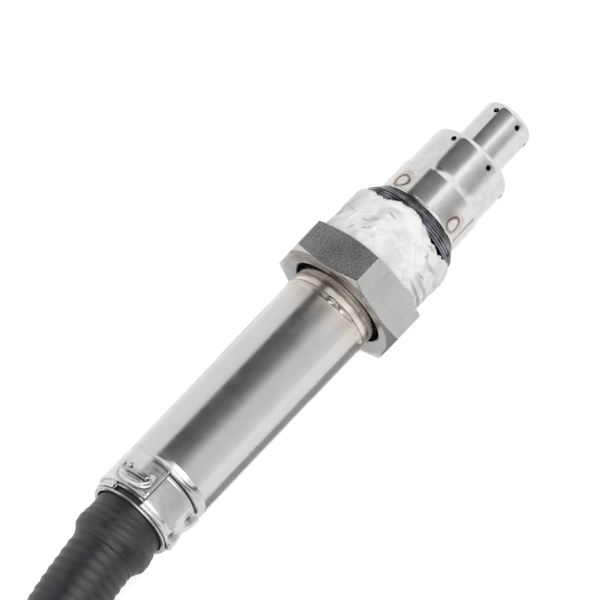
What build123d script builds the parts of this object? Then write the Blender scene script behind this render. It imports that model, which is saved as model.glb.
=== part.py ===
from build123d import *
import os
from math import cos, pi, radians, sin, sqrt, tan

# A nitrogen oxide sensor with an M20 thread on its swivel nut, lying on one flat of that nut.
# +X runs along the probe to its tip, +Z is up, and the origin is on the probe's axis where the
# full thread begins. Sizes are in millimetres. An angle round the probe is measured from +Z
# towards -Y.

# Thread and swivel nut
thread_radius = 10.0
thread_depth = 0.92
thread_length = 7.4
thread_runout = 0.9
nut_lead_in = 0.9
nut_front_drop = 0.48
hex_shoulder = 1.0
hex_length = 6.9
hex_chamfer_inset = 0.4
hex_chamfer_angle = 20.0
nut_thread_wall = 0.58
nut_bore_chamfer = 0.5
nut_lip_height = 0.55
nut_lip_length = 2.2

# Sensor body: sealing flange, cone, spigot in front, neck and shank behind
nut_clearance = 0.2
flange_inset = 0.13
flange_length = 1.4
cone_length = 1.6
cone_step = 0.15
front_spigot_length = 4.5
neck_play = 0.25
neck_length = 18.8
rear_spigot_length = 6.0
body_wall = 1.94
body_bore_depth = 26.5
front_hole_radius = 3.0
crimp_lip_height = 0.8
crimp_lip_length = 1.0

# Outer protector: collar, middle step and tip, drawn from one sheet
protector_wall = 0.5
collar_gap = 0.2
collar_radius = 7.6
collar_length = 5.85
flare_length = 1.6
flare_edge = 1.5
middle_radius = 7.275
middle_length = 7.05
middle_edge = 1.3
tip_radius = 4.38
tip_length = 9.3
tip_edge = 1.1
tip_root = 0.7
gas_holes = 6
gas_hole_radius = 0.475
gas_hole_turn = -8.5
middle_hole_setback = 2.0
tip_hole_setback = 2.0
tip_hole_end_radius = 0.6

# Inner protector round the element
inner_wall = 0.35
inner_radius = 3.25
inner_base_thickness = 0.4
inner_length = 15.6
inner_edge = 1.0
inner_hole_radius = 0.5
inner_hole_rows = (4.0, 12.0)

# Sensing element and its packing
element_width = 4.2
element_thickness = 1.4
element_front = 22.0
element_chamfer = 0.15
slot_clearance = 0.05
packing_clearance = 0.03
holder_length = 5.0
talc_length = 7.0
packing_ring_length = 1.0
packing_ring_bore = 3.2

# Rear tube and the weld that joins it to the body
tube_step = 0.01
tube_wall = 0.55
tube_end_edge = 1.0
tube_mouth_gap = 0.2
spigot_clearance = 0.02
weld_width = 1.0
weld_height = 0.12

# Contacts and wires inside the tube
insulator_gap = 0.86
body_to_insulator = 5.8
element_end_gap = 2.0
insulator_length = 12.5
insulator_wall = 2.0
insulator_chamfer = 0.4
chamber_width = 5.2
chamber_height = 4.8
chamber_edge = 0.6
clip_width = 3.0
clip_setback = 4.0
clip_slot_width = 3.0
clip_slot_depth = 2.0
spring_pitch = 1.6
spring_width = 1.0
spring_strip = 0.3
spring_foot_gap = 0.2
spring_bend_setback = 1.2
spring_contact_setback = 5.0
spring_tip_setback = 8.0
spring_tip_drop = 0.6
spring_bend_radius = 0.4
spring_contact_radius = 0.6
wire_radius = 0.65
wire_rise = 1.85
wire_reach_in_lead = 6.2
grommet_gap = 2.05
grommet_length = 9.5
grommet_clearance = 0.03

# Rubber boot: collar held by the tube's mouth, neck under the clamp, and a drooping bulge
boot_collar_gap = 0.16
boot_collar_length = 2.3
boot_collar_chamfer = 0.5
boot_neck_gap = 0.86
boot_neck_length = 7.6
boot_knee_overlap = 0.8
boot_droop = 5.5
boot_droop_side = 44.4
boot_bulge_start = 1.7
boot_bulge_height = 0.35
boot_bulge_at = 4.4
boot_reach = 7.2
boot_wire_gap = 0.9
sleeve_step = 0.65

# Crimp ferrule behind the tube, with a thin lip and a window
ferrule_clearance = 0.25
ferrule_wall = 0.4
ferrule_length = 7.7
lip_width = 0.35
lip_height = 0.25
tube_to_ferrule = 0.15
ferrule_window_gap = 0.3

# Ear clamp: a band with an overlapping end, a hook window, and a pinched ear
band_clearance = 0.03
band_thickness = 0.42
tube_to_band = 0.4
band_length = 6.9
overlap_ahead = 0.4
overlap_length = 6.45
overlap_start = -75.0
overlap_end = 26.0
window_start = -21.0
hook_turn = -5.5
tube_to_hook = 3.45
hook_window_height = 4.4
hook_window_width = 1.75
tongue_height = 3.4
tongue_width = 0.8
tongue_offset = 0.35
tongue_proud = 0.04
hook_rim_width = 0.6
hook_rim_end = 0.85
hook_rim_height = 0.2
hook_rim_opening = 0.5
ear_start = 93.0
ear_end = 117.0
ear_height = 0.62
ear_rear_margin = 0.3
ear_front_margin = 3.0
pinch_radius = 1.0

# Lead: where it runs, how it is coiled and what the coil is
coil_radius = 62.0
coil_slack = 0.3
coil_layers = 2
coil_edge = 4.0
coil_centre_x = -132.6
coil_centre_y = -73.7
sleeve_first_run = 11.0
tail_last_run = 12.0

# Plug on the lead's far end
plug_axis_y = -131.2
plug_axis_z = -1.6
plug_boot_rear = -62.0
plug_boot_length = 21.0
plug_boot_front_radius = 7.9
plug_boot_rear_radius = 6.7
plug_boot_grooves = 4
plug_groove_depth = 0.5
plug_groove_width = 0.9
shell_length = 19.0
shell_width = 25.0
shell_edge = 3.0
shell_rear_edge = 1.2
nose_length = 17.0
nose_width = 19.5
nose_height = 13.6
nose_edge = 2.5
cavity_size = 1.9
cavity_depth = 12.0
cavity_columns = 4
cavity_rows = 2
cavity_pitch_y = 3.8
cavity_pitch_z = 4.6
terminal_wall = 0.3
terminal_length = 10.0
retainer_thickness = 1.2
retainer_gap = 0.05
retainer_margin = 0.5
retainer_overlap = 0.25
seal_width = 3.2
seal_height = 1.1
latch_width = 7.0
latch_thickness = 1.4
latch_gap = 1.6
latch_root = 1.0
latch_setback = 3.0
latch_hook_height = 1.2
latch_hook_width = 1.5
latch_ramp = 2.0

# How far a cut runs past the face that it opens
cut_margin = 0.5

# Places along the probe, worked out from the sizes above
thread_core_radius = thread_radius - thread_depth
nut_front_radius = thread_core_radius - nut_front_drop
nut_bore_radius = thread_core_radius - nut_thread_wall
nut_lip_radius = nut_bore_radius - nut_lip_height
hex_across_flats = 2 * (thread_radius + hex_shoulder)
surface = -hex_across_flats / 2
hex_front = -thread_length - thread_runout
hex_rear = hex_front - hex_length
hex_corner_radius = hex_across_flats / sqrt(3)
hex_chamfer_radius = hex_across_flats / 2 - hex_chamfer_inset
hex_chamfer_depth = (hex_corner_radius - hex_chamfer_radius) * tan(radians(hex_chamfer_angle))
neck_radius = nut_lip_radius - neck_play
flange_radius = thread_core_radius - flange_inset
flange_rear = nut_lead_in + nut_clearance
neck_end = flange_rear - neck_length
flange_front = flange_rear + flange_length
cone_front = flange_front + cone_length
spigot_front = cone_front + front_spigot_length
spigot_radius = collar_radius - protector_wall
cone_front_radius = collar_radius + cone_step
collar_rear = cone_front + collar_gap
collar_front = collar_rear + collar_length
middle_rear = collar_front + flare_length
middle_front = middle_rear + middle_length
tip_front = middle_front + tip_length
tube_radius = neck_radius + tube_step
tube_bore_radius = tube_radius - tube_wall
rear_spigot_radius = tube_bore_radius - spigot_clearance
body_bore_radius = rear_spigot_radius - body_wall
crimp_lip_radius = body_bore_radius - crimp_lip_height
tube_start = neck_end - weld_width
body_rear = tube_start - rear_spigot_length
body_bore_front = body_rear + body_bore_depth
ring_rear = body_rear + crimp_lip_length
insulator_front = body_rear - body_to_insulator
insulator_rear = insulator_front - insulator_length
element_rear = insulator_rear + insulator_wall + element_end_gap
insulator_radius = tube_bore_radius - insulator_gap
grommet_front = insulator_rear - grommet_gap
grommet_rear = grommet_front - grommet_length
boot_front = grommet_rear
tube_mouth = boot_front - boot_collar_length
tube_end = tube_mouth - tube_wall
boot_knee = tube_end - boot_neck_length
boot_collar_radius = tube_bore_radius - boot_collar_gap
boot_neck_radius = tube_bore_radius - boot_neck_gap
boot_bulge_radius = boot_neck_radius + boot_bulge_height
tube_mouth_radius = boot_neck_radius + tube_mouth_gap
sleeve_radius = boot_neck_radius - sleeve_step
ferrule_front = tube_end - tube_to_ferrule
ferrule_end = ferrule_front - ferrule_length
ferrule_bore_radius = boot_neck_radius + ferrule_clearance
ferrule_radius = ferrule_bore_radius + ferrule_wall
lip_radius = ferrule_radius + lip_height
band_front = tube_end - tube_to_band
band_rear = band_front - band_length
overlap_front = tube_end + overlap_ahead
overlap_rear = overlap_front - overlap_length
hook_at = tube_end - tube_to_hook
band_radius = ferrule_radius + band_clearance
overlap_radius = band_radius + band_thickness
coil_height = coil_layers * 2 * sleeve_radius
wire_end = boot_knee - wire_reach_in_lead
wire_reach = sqrt(spring_pitch**2 + wire_rise**2) + wire_radius
boot_bore_radius = wire_reach + boot_wire_gap
wire_places = [(column * spring_pitch, side * wire_rise) for column in (-1, 0, 1) for side in (-1, 1)]


def round_the_probe(turn):
    """The direction that leaves the axis at an angle measured from +Z towards -Y."""
    return Vector(0, -sin(radians(turn)), cos(radians(turn)))


def radial_plane(turn):
    """A plane whose x runs along the probe and whose y leaves the axis at the given angle."""
    return Plane(origin=(0, 0, 0), x_dir=(1, 0, 0), z_dir=Vector(1, 0, 0).cross(round_the_probe(turn)))


def facing_plane(x, turn, radius):
    """A plane that faces outwards at a place on the probe, with its x along the probe."""
    outwards = round_the_probe(turn)
    return Plane(origin=Vector(x, 0, 0) + outwards * radius, x_dir=(1, 0, 0), z_dir=outwards)


# The thin sheet of the outer protector, its gas holes and the hole in its end
with BuildPart() as outer_protector:
    with BuildSketch(Plane.XY):
        with BuildLine():
            outside = FilletPolyline(
                (collar_rear, collar_radius),
                (collar_front, collar_radius),
                (middle_rear, middle_radius),
                (middle_front, middle_radius),
                (middle_front, tip_radius),
                (tip_front, tip_radius),
                (tip_front, 0),
                radius=[flare_edge, flare_edge, middle_edge, tip_root, tip_edge],
            )
            inside = FilletPolyline(
                (collar_rear, collar_radius - protector_wall),
                (collar_front, collar_radius - protector_wall),
                (middle_rear, middle_radius - protector_wall),
                (middle_front - protector_wall, middle_radius - protector_wall),
                (middle_front - protector_wall, tip_radius - protector_wall),
                (tip_front - protector_wall, tip_radius - protector_wall),
                (tip_front - protector_wall, 0),
                radius=[
                    flare_edge,
                    flare_edge,
                    middle_edge - protector_wall,
                    tip_root + protector_wall,
                    tip_edge - protector_wall,
                ],
            )
            Line(outside @ 0, inside @ 0)
            Line(outside @ 1, inside @ 1)
        make_face()
    revolve(axis=Axis.X)
    for hole_x in (middle_front - middle_hole_setback, tip_front - tip_hole_setback):
        for pair in range(gas_holes // 2):
            with BuildSketch(facing_plane(hole_x, gas_hole_turn + pair * 360 / gas_holes, 0)):
                Circle(gas_hole_radius)
            extrude(amount=collar_radius, both=True, mode=Mode.SUBTRACT)
    with BuildSketch(Plane.YZ.offset(tip_front - tip_edge)):
        Circle(tip_hole_end_radius)
    extrude(amount=2 * tip_edge, mode=Mode.SUBTRACT)
outer_protector.part.label = "outer_protector"

# Inner protector: a cup with a wide base held against the body's spigot
inner_front = spigot_front + inner_length
with BuildPart() as inner_protector:
    with BuildSketch(Plane.XY):
        with BuildLine():
            cup_outside = FilletPolyline(
                (spigot_front, spigot_radius - packing_clearance),
                (spigot_front + inner_base_thickness, spigot_radius - packing_clearance),
                (spigot_front + inner_base_thickness, inner_radius),
                (inner_front, inner_radius),
                (inner_front, 0),
                radius=[0, inner_wall, inner_edge],
            )
            cup_inside = FilletPolyline(
                (spigot_front, inner_radius - inner_wall),
                (inner_front - inner_wall, inner_radius - inner_wall),
                (inner_front - inner_wall, 0),
                radius=[inner_edge - inner_wall],
            )
            Line(cup_outside @ 0, cup_inside @ 0)
            Line(cup_outside @ 1, cup_inside @ 1)
        make_face()
    revolve(axis=Axis.X)
    for row in inner_hole_rows:
        for pair in range(gas_holes // 2):
            with BuildSketch(facing_plane(spigot_front + row, pair * 360 / gas_holes, 0)):
                Circle(inner_hole_radius)
            extrude(amount=inner_radius + inner_wall, both=True, mode=Mode.SUBTRACT)
    with BuildSketch(Plane.YZ.offset(inner_front - inner_edge)):
        Circle(inner_hole_radius)
    extrude(amount=2 * inner_edge, mode=Mode.SUBTRACT)
inner_protector.part.label = "inner_protector"

# Sensing element: a flat ceramic bar
with BuildPart() as sensing_element:
    with BuildSketch(Plane.YZ.offset(element_rear)):
        Rectangle(element_width, element_thickness)
    extrude(amount=element_front - element_rear)
    chamfer(sensing_element.edges().filter_by(Axis.X), element_chamfer)
sensing_element.part.label = "sensing_element"

# Sensor body: flange with its cone, spigots, stepped bore, and the lip crimped over the packing
with BuildPart() as sensor_body:
    with BuildSketch(Plane.XY):
        with BuildLine():
            Polyline(
                (body_rear, crimp_lip_radius),
                (body_rear, rear_spigot_radius - crimp_lip_length),
                (ring_rear, rear_spigot_radius),
                (tube_start, rear_spigot_radius),
                (neck_end, rear_spigot_radius),
                (neck_end, neck_radius),
                (flange_rear, neck_radius),
                (flange_rear, flange_radius),
                (flange_front, flange_radius),
                (cone_front, cone_front_radius),
                (cone_front, spigot_radius),
                (spigot_front, spigot_radius),
                (spigot_front, front_hole_radius),
                (body_bore_front, front_hole_radius),
                (body_bore_front, body_bore_radius),
                (ring_rear, body_bore_radius),
                (ring_rear, crimp_lip_radius),
                close=True,
            )
        make_face()
    revolve(axis=Axis.X)
sensor_body.part.label = "sensor_body"


def packing_profile(front, rear, bore):
    """Half the section of a round packing piece in the body's bore, placed as a sketch."""
    radius = body_bore_radius - packing_clearance
    with BuildSketch(Plane.XY) as profile:
        with Locations(((front + rear) / 2, (radius + bore) / 2)):
            Rectangle(front - rear, radius - bore)
    return profile.sketch


def element_slot(rear, length):
    """The slot that the element passes through, as a solid to cut away."""
    with BuildPart() as slot:
        with BuildSketch(Plane.YZ.offset(rear)):
            Rectangle(element_width + 2 * slot_clearance, element_thickness + 2 * slot_clearance)
        extrude(amount=length)
    return slot.part


holder_rear = body_bore_front - holder_length
talc_rear = holder_rear - talc_length
ceramic_sleeve_rear = ring_rear + packing_ring_length

# Front ceramic holder
with BuildPart() as ceramic_holder:
    add(packing_profile(body_bore_front, holder_rear, 0))
    revolve(axis=Axis.X)
    add(element_slot(holder_rear, holder_length), mode=Mode.SUBTRACT)
ceramic_holder.part.label = "ceramic_holder"

# Pressed talc ring that seals the element
with BuildPart() as talc_packing:
    add(packing_profile(holder_rear, talc_rear, 0))
    revolve(axis=Axis.X)
    add(element_slot(talc_rear, talc_length), mode=Mode.SUBTRACT)
talc_packing.part.label = "talc_packing"

# Rear ceramic sleeve
with BuildPart() as ceramic_sleeve:
    add(packing_profile(talc_rear, ceramic_sleeve_rear, 0))
    revolve(axis=Axis.X)
    add(element_slot(ceramic_sleeve_rear, talc_rear - ceramic_sleeve_rear), mode=Mode.SUBTRACT)
ceramic_sleeve.part.label = "ceramic_sleeve"

# Metal ring under the crimped lip
with BuildPart() as packing_ring:
    add(packing_profile(ceramic_sleeve_rear, ring_rear, packing_ring_bore))
    revolve(axis=Axis.X)
packing_ring.part.label = "packing_ring"

# Swivel nut: chamfered hexagon, thread core, lead-in, and a bore with a lip that bears on the flange
with BuildPart() as swivel_nut:
    with BuildSketch(Plane.YZ.offset(hex_rear)):
        RegularPolygon(hex_across_flats / 2, 6, major_radius=False)
    extrude(amount=hex_length)
    with BuildSketch(Plane.XY):
        with BuildLine():
            Polyline(
                (hex_rear, 0),
                (hex_rear, hex_chamfer_radius),
                (hex_rear + hex_chamfer_depth, hex_corner_radius),
                (hex_front - hex_chamfer_depth, hex_corner_radius),
                (hex_front, hex_chamfer_radius),
                (hex_front, 0),
                close=True,
            )
        make_face()
    revolve(axis=Axis.X, mode=Mode.INTERSECT)
    with BuildSketch(Plane.XY):
        with BuildLine():
            Polyline(
                (hex_front, 0),
                (hex_front, thread_core_radius),
                (0, thread_core_radius),
                (nut_lead_in, nut_front_radius),
                (nut_lead_in, 0),
                close=True,
            )
        make_face()
    revolve(axis=Axis.X)
    with BuildSketch(Plane.XY):
        with BuildLine():
            Polyline(
                (hex_rear, 0),
                (hex_rear, nut_bore_radius + nut_bore_chamfer),
                (hex_rear + nut_bore_chamfer, nut_bore_radius),
                (nut_lead_in - nut_lip_length, nut_bore_radius),
                (nut_lead_in - nut_lip_length, nut_lip_radius),
                (nut_lead_in, nut_lip_radius),
                (nut_lead_in, 0),
                close=True,
            )
        make_face()
    revolve(axis=Axis.X, mode=Mode.SUBTRACT)
swivel_nut.part.label = "swivel_nut"

# Anti-seize paste that fills the thread to its full diameter
with BuildPart() as thread_paste:
    with BuildSketch(Plane.YZ.offset(-thread_length)):
        Circle(thread_radius)
        Circle(thread_core_radius, mode=Mode.SUBTRACT)
    extrude(amount=thread_length)
thread_paste.part.label = "thread_paste"

# Weld bead between the body's neck and the rear tube
with BuildPart() as neck_weld:
    with BuildSketch(Plane.XY):
        with BuildLine():
            Polyline(
                (tube_start, tube_radius),
                (tube_start, rear_spigot_radius),
                (neck_end, rear_spigot_radius),
                (neck_end, neck_radius),
            )
            ThreePointArc(
                (neck_end, neck_radius),
                ((tube_start + neck_end) / 2, tube_radius + weld_height),
                (tube_start, tube_radius),
            )
        make_face()
    revolve(axis=Axis.X)
neck_weld.part.label = "neck_weld"

# Rear tube with its end turned in
with BuildPart() as rear_tube:
    with BuildSketch(Plane.XY):
        with BuildLine():
            tube_outside = FilletPolyline(
                (tube_start, tube_radius),
                (tube_end, tube_radius),
                (tube_end, tube_mouth_radius),
                radius=[tube_end_edge],
            )
            tube_inside = FilletPolyline(
                (tube_start, tube_bore_radius),
                (tube_mouth, tube_bore_radius),
                (tube_mouth, tube_mouth_radius),
                radius=[tube_end_edge - tube_wall],
            )
            Line(tube_outside @ 0, tube_inside @ 0)
            Line(tube_outside @ 1, tube_inside @ 1)
        make_face()
    revolve(axis=Axis.X)
rear_tube.part.label = "rear_tube"

# Ceramic insulator with a chamber for the contacts and a hole for each wire
with BuildPart() as contact_insulator:
    with BuildSketch(Plane.YZ.offset(insulator_rear)):
        Circle(insulator_radius)
    extrude(amount=insulator_length)
    chamfer(contact_insulator.edges(), insulator_chamfer)
    with BuildSketch(Plane.YZ.offset(insulator_rear + insulator_wall)):
        RectangleRounded(chamber_width, chamber_height, chamber_edge)
    extrude(amount=insulator_length, mode=Mode.SUBTRACT)
    with BuildSketch(Plane.YZ.offset(insulator_rear)):
        with Locations(*wire_places):
            Circle(wire_radius + slot_clearance)
    extrude(amount=insulator_wall, mode=Mode.SUBTRACT)
contact_insulator.part.label = "contact_insulator"

# Contact springs: folded strips that press on both faces of the element
chamber_rear = insulator_rear + insulator_wall
spring_rise = wire_rise + spring_strip / 2
contact_rise = element_thickness / 2 + spring_strip / 2
with BuildPart() as contact_springs:
    for column in (-1, 0, 1):
        for side in (-1, 1):
            with BuildSketch(Plane.XZ.offset(-column * spring_pitch)):
                with BuildLine():
                    FilletPolyline(
                        (chamber_rear + spring_foot_gap, side * spring_rise),
                        (insulator_front - spring_bend_setback, side * spring_rise),
                        (insulator_front - spring_contact_setback, side * contact_rise),
                        (insulator_front - spring_tip_setback, side * (spring_rise - spring_tip_drop)),
                        radius=[spring_bend_radius, spring_contact_radius],
                    )
                trace(line_width=spring_strip)
            extrude(amount=spring_width / 2, both=True)
contact_springs.part.label = "contact_springs"

# Metal clip that holds the insulator in the tube
clip_front = insulator_front - clip_setback
with BuildPart() as insulator_clip:
    with BuildSketch(Plane.YZ.offset(clip_front - clip_width)):
        Circle(tube_bore_radius - spigot_clearance)
        Circle(insulator_radius + spigot_clearance, mode=Mode.SUBTRACT)
        with Locations((0, -tube_bore_radius)):
            Rectangle(2 * clip_slot_depth, clip_slot_width, mode=Mode.SUBTRACT)
    extrude(amount=clip_width)
insulator_clip.part.label = "insulator_clip"

# Lead wires from the contacts to the sleeve
with BuildPart() as lead_wires:
    with BuildSketch(Plane.YZ.offset(wire_end)):
        with Locations(*wire_places):
            Circle(wire_radius)
    extrude(amount=chamber_rear - wire_end)
lead_wires.part.label = "lead_wires"

# Sealing grommet with a hole for each wire
with BuildPart() as grommet:
    with BuildSketch(Plane.YZ.offset(grommet_rear)):
        Circle(tube_bore_radius - grommet_clearance)
        with Locations(*wire_places):
            Circle(wire_radius + slot_clearance, mode=Mode.SUBTRACT)
    extrude(amount=grommet_front - grommet_rear)
grommet.part.label = "grommet"

# Rubber boot: straight collar and neck, then a bulge that droops with the lead
droop_across = round_the_probe(90 + boot_droop_side)
boot_direction = Vector(-cos(radians(boot_droop)), 0, 0) + droop_across * sin(radians(boot_droop))
boot_plane = Plane(
    origin=(boot_knee, 0, 0),
    x_dir=boot_direction,
    z_dir=boot_direction.cross(droop_across),
)
with BuildPart() as rubber_boot:
    with BuildSketch(Plane.XY):
        with BuildLine():
            Polyline(
                (boot_front, 0),
                (boot_front, boot_collar_radius),
                (tube_mouth + boot_collar_chamfer, boot_collar_radius),
                (tube_mouth, boot_collar_radius - boot_collar_chamfer),
                (tube_mouth, boot_neck_radius),
                (boot_knee, boot_neck_radius),
                (boot_knee, 0),
                close=True,
            )
        make_face()
    revolve(axis=Axis.X)
    with BuildSketch(boot_plane):
        with BuildLine():
            Polyline(
                (boot_reach, sleeve_radius),
                (boot_reach, 0),
                (-boot_knee_overlap, 0),
                (-boot_knee_overlap, boot_neck_radius),
                (boot_bulge_start, boot_neck_radius),
            )
            ThreePointArc(
                (boot_bulge_start, boot_neck_radius),
                (boot_bulge_at, boot_bulge_radius),
                (boot_reach, sleeve_radius),
            )
        make_face()
    revolve(axis=Axis(boot_plane.origin, boot_direction))
    with BuildSketch(Plane.YZ.offset(boot_knee)):
        Circle(boot_bore_radius)
    extrude(amount=boot_front - boot_knee, mode=Mode.SUBTRACT)
    with BuildSketch(Plane(origin=boot_plane.origin - boot_direction * boot_knee_overlap, z_dir=boot_direction)):
        Circle(boot_bore_radius)
    extrude(amount=boot_reach + 2 * boot_knee_overlap, mode=Mode.SUBTRACT)
rubber_boot.part.label = "rubber_boot"

# Crimp ferrule: thin sleeve on the boot's neck, with a lip and a window
with BuildPart() as crimp_ferrule:
    with BuildSketch(Plane.XY):
        with BuildLine():
            Polyline(
                (ferrule_front, ferrule_bore_radius),
                (ferrule_front, ferrule_radius),
                (ferrule_end + lip_width, ferrule_radius),
                (ferrule_end + lip_width, lip_radius),
                (ferrule_end, lip_radius),
                (ferrule_end, ferrule_bore_radius),
                close=True,
            )
        make_face()
    revolve(axis=Axis.X)
    window_width = overlap_rear - ferrule_end - lip_width - ferrule_window_gap
    with BuildSketch(radial_plane(window_start)):
        with Locations((ferrule_end + lip_width + window_width / 2, ferrule_radius)):
            Rectangle(window_width, 2 * (ferrule_wall + cut_margin))
    revolve(axis=Axis.X, revolution_arc=overlap_end - window_start, mode=Mode.SUBTRACT)
crimp_ferrule.part.label = "crimp_ferrule"

# Raised rim round the clamp's hook window, open towards the probe's tip
with BuildPart() as hook_rim:
    with BuildSketch(Plane.YZ.offset(overlap_rear)):
        Circle(overlap_radius + band_thickness + hook_rim_height)
        Circle(overlap_radius, mode=Mode.SUBTRACT)
    extrude(amount=overlap_length)
    with BuildSketch(facing_plane(hook_at, hook_turn, 0)):
        SlotOverall(
            hook_window_height + 2 * hook_rim_end,
            hook_window_width + 2 * hook_rim_width,
            rotation=90,
        )
        SlotOverall(hook_window_height, hook_window_width, rotation=90, mode=Mode.SUBTRACT)
        with Locations((hook_rim_opening, 0)):
            Rectangle(
                hook_window_width + hook_rim_width,
                hook_window_height - hook_window_width,
                align=(Align.MIN, Align.CENTER),
                mode=Mode.SUBTRACT,
            )
    extrude(amount=overlap_radius + 2 * band_thickness, mode=Mode.INTERSECT)

# Ear clamp: the band, its overlapping end, the hook in its window, and the pinched ear
with BuildPart() as ear_clamp:
    with BuildSketch(radial_plane(overlap_end)):
        with Locations(((band_front + band_rear) / 2, band_radius + band_thickness / 2)):
            Rectangle(band_front - band_rear, band_thickness)
    revolve(axis=Axis.X, revolution_arc=360 + window_start - overlap_end)
    with BuildSketch(radial_plane(window_start)):
        with Locations(((band_front + overlap_rear) / 2, band_radius + band_thickness / 2)):
            Rectangle(band_front - overlap_rear, band_thickness)
    revolve(axis=Axis.X, revolution_arc=overlap_end - window_start)
    with BuildSketch(radial_plane(overlap_start)):
        with Locations(((overlap_front + overlap_rear) / 2, overlap_radius + band_thickness / 2)):
            Rectangle(overlap_front - overlap_rear, band_thickness)
    revolve(axis=Axis.X, revolution_arc=overlap_end - overlap_start)
    with BuildSketch(facing_plane(hook_at, hook_turn, overlap_radius)):
        SlotOverall(hook_window_height, hook_window_width, rotation=90)
    extrude(amount=band_thickness + cut_margin, mode=Mode.SUBTRACT)
    with BuildSketch(facing_plane(hook_at + tongue_offset, hook_turn, overlap_radius - band_thickness / 2)):
        SlotOverall(tongue_height, tongue_width, rotation=90)
    extrude(amount=1.5 * band_thickness + tongue_proud)
    add(hook_rim.part)
    ear_front = band_front - ear_front_margin
    ear_rear = band_rear + ear_rear_margin
    with BuildSketch(radial_plane(ear_start)):
        with Locations(((ear_front + ear_rear) / 2, overlap_radius + ear_height / 2)):
            Rectangle(ear_front - ear_rear, ear_height)
    revolve(axis=Axis.X, revolution_arc=ear_end - ear_start)
    with BuildSketch(facing_plane((ear_front + ear_rear) / 2, (ear_start + ear_end) / 2, overlap_radius)):
        Circle(pinch_radius)
    extrude(amount=ear_height + cut_margin, mode=Mode.SUBTRACT)
ear_clamp.part.label = "ear_clamp"

# The lead's route from the boot to the coil, and from the coil to the plug
lead_start = Vector(boot_knee, 0, 0) + boot_direction * boot_reach
sleeve_points = [
    lead_start,
    lead_start + boot_direction * sleeve_first_run,
    Vector(-96.7, -3.6, -3.7),
    Vector(-114.5, -6.7, surface + sleeve_radius),
    Vector(-132.0, -10.4, surface + sleeve_radius),
]
tail_points = [
    Vector(-119.0, -135.5, 5.3),
    Vector(-101.5, -133.9, 2.0),
    Vector(-87.0, -132.0, -0.9),
    Vector(plug_boot_rear - tail_last_run, plug_axis_y, plug_axis_z),
    Vector(plug_boot_rear, plug_axis_y, plug_axis_z),
]


def corner_radii(points):
    """An arc for each corner, as large as its two runs allow."""
    radii = []
    for before, corner, after in zip(points, points[1:], points[2:]):
        turn = (corner - before).get_angle(after - corner)
        shorter = min((corner - before).length, (after - corner).length)
        radii.append(0.45 * shorter / tan(radians(turn / 2)))
        print(f"corner turns {turn:.1f} degrees on a radius of {radii[-1]:.0f} mm")
    return radii


# Ribbed sleeve of the lead from the boot to the coil
with BuildPart() as lead_sleeve:
    with BuildLine() as sleeve_path:
        sleeve_line = FilletPolyline(*sleeve_points, radius=corner_radii(sleeve_points))
    with BuildSketch(Plane(origin=sleeve_line @ 0, z_dir=sleeve_line % 0)):
        Circle(sleeve_radius)
    sweep()
lead_sleeve.part.label = "lead_sleeve"

# The coil that puts the unseen length away
with BuildPart() as lead_coil:
    with BuildSketch(Plane.XY.offset(surface)):
        with Locations((coil_centre_x, coil_centre_y)):
            Circle(coil_radius + sleeve_radius + coil_slack)
            Circle(coil_radius - sleeve_radius - coil_slack, mode=Mode.SUBTRACT)
    extrude(amount=coil_height)
    fillet(lead_coil.edges().filter_by(GeomType.CIRCLE), coil_edge)
lead_coil.part.label = "lead_coil"

# The lead from the coil to the plug
with BuildPart() as lead_tail:
    with BuildLine() as tail_path:
        tail_line = FilletPolyline(*tail_points, radius=corner_radii(tail_points))
    with BuildSketch(Plane(origin=tail_line @ 0, z_dir=tail_line % 0)):
        Circle(sleeve_radius)
    sweep()
lead_tail.part.label = "lead_tail"

for tube, line in ((lead_sleeve, sleeve_line), (lead_tail, tail_line)):
    expected = pi * sleeve_radius**2 * line.length
    print(f"{tube.part.label}: length {line.length:.1f} mm, volume {tube.part.volume / expected:.4f} of its")

# Plug: strain relief boot with grooves round it
shell_rear = plug_boot_rear + plug_boot_length
shell_front = shell_rear + shell_length
nose_front = shell_front + nose_length
shell_height = 2 * (plug_axis_z - surface)
with BuildPart() as plug_boot:
    with BuildSketch(Plane.XY.offset(plug_axis_z)):
        with BuildLine():
            Polyline(
                (plug_boot_rear, plug_axis_y),
                (plug_boot_rear, plug_axis_y + plug_boot_rear_radius),
                (shell_rear, plug_axis_y + plug_boot_front_radius),
                (shell_rear, plug_axis_y),
                close=True,
            )
        make_face()
        for groove in range(plug_boot_grooves):
            along = (groove + 1) / (plug_boot_grooves + 2)
            groove_radius = plug_boot_rear_radius + along * (plug_boot_front_radius - plug_boot_rear_radius)
            with Locations((plug_boot_rear + along * plug_boot_length, plug_axis_y + groove_radius)):
                Rectangle(plug_groove_width, 2 * plug_groove_depth, mode=Mode.SUBTRACT)
    revolve(axis=Axis((0, plug_axis_y, plug_axis_z), (1, 0, 0)))
plug_boot.part.label = "plug_boot"


def plug_plane(x):
    """A plane across the plug, with its x along the row's Y and its y up."""
    return Plane(origin=(x, plug_axis_y, plug_axis_z), x_dir=(0, 1, 0), z_dir=(1, 0, 0))


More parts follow.
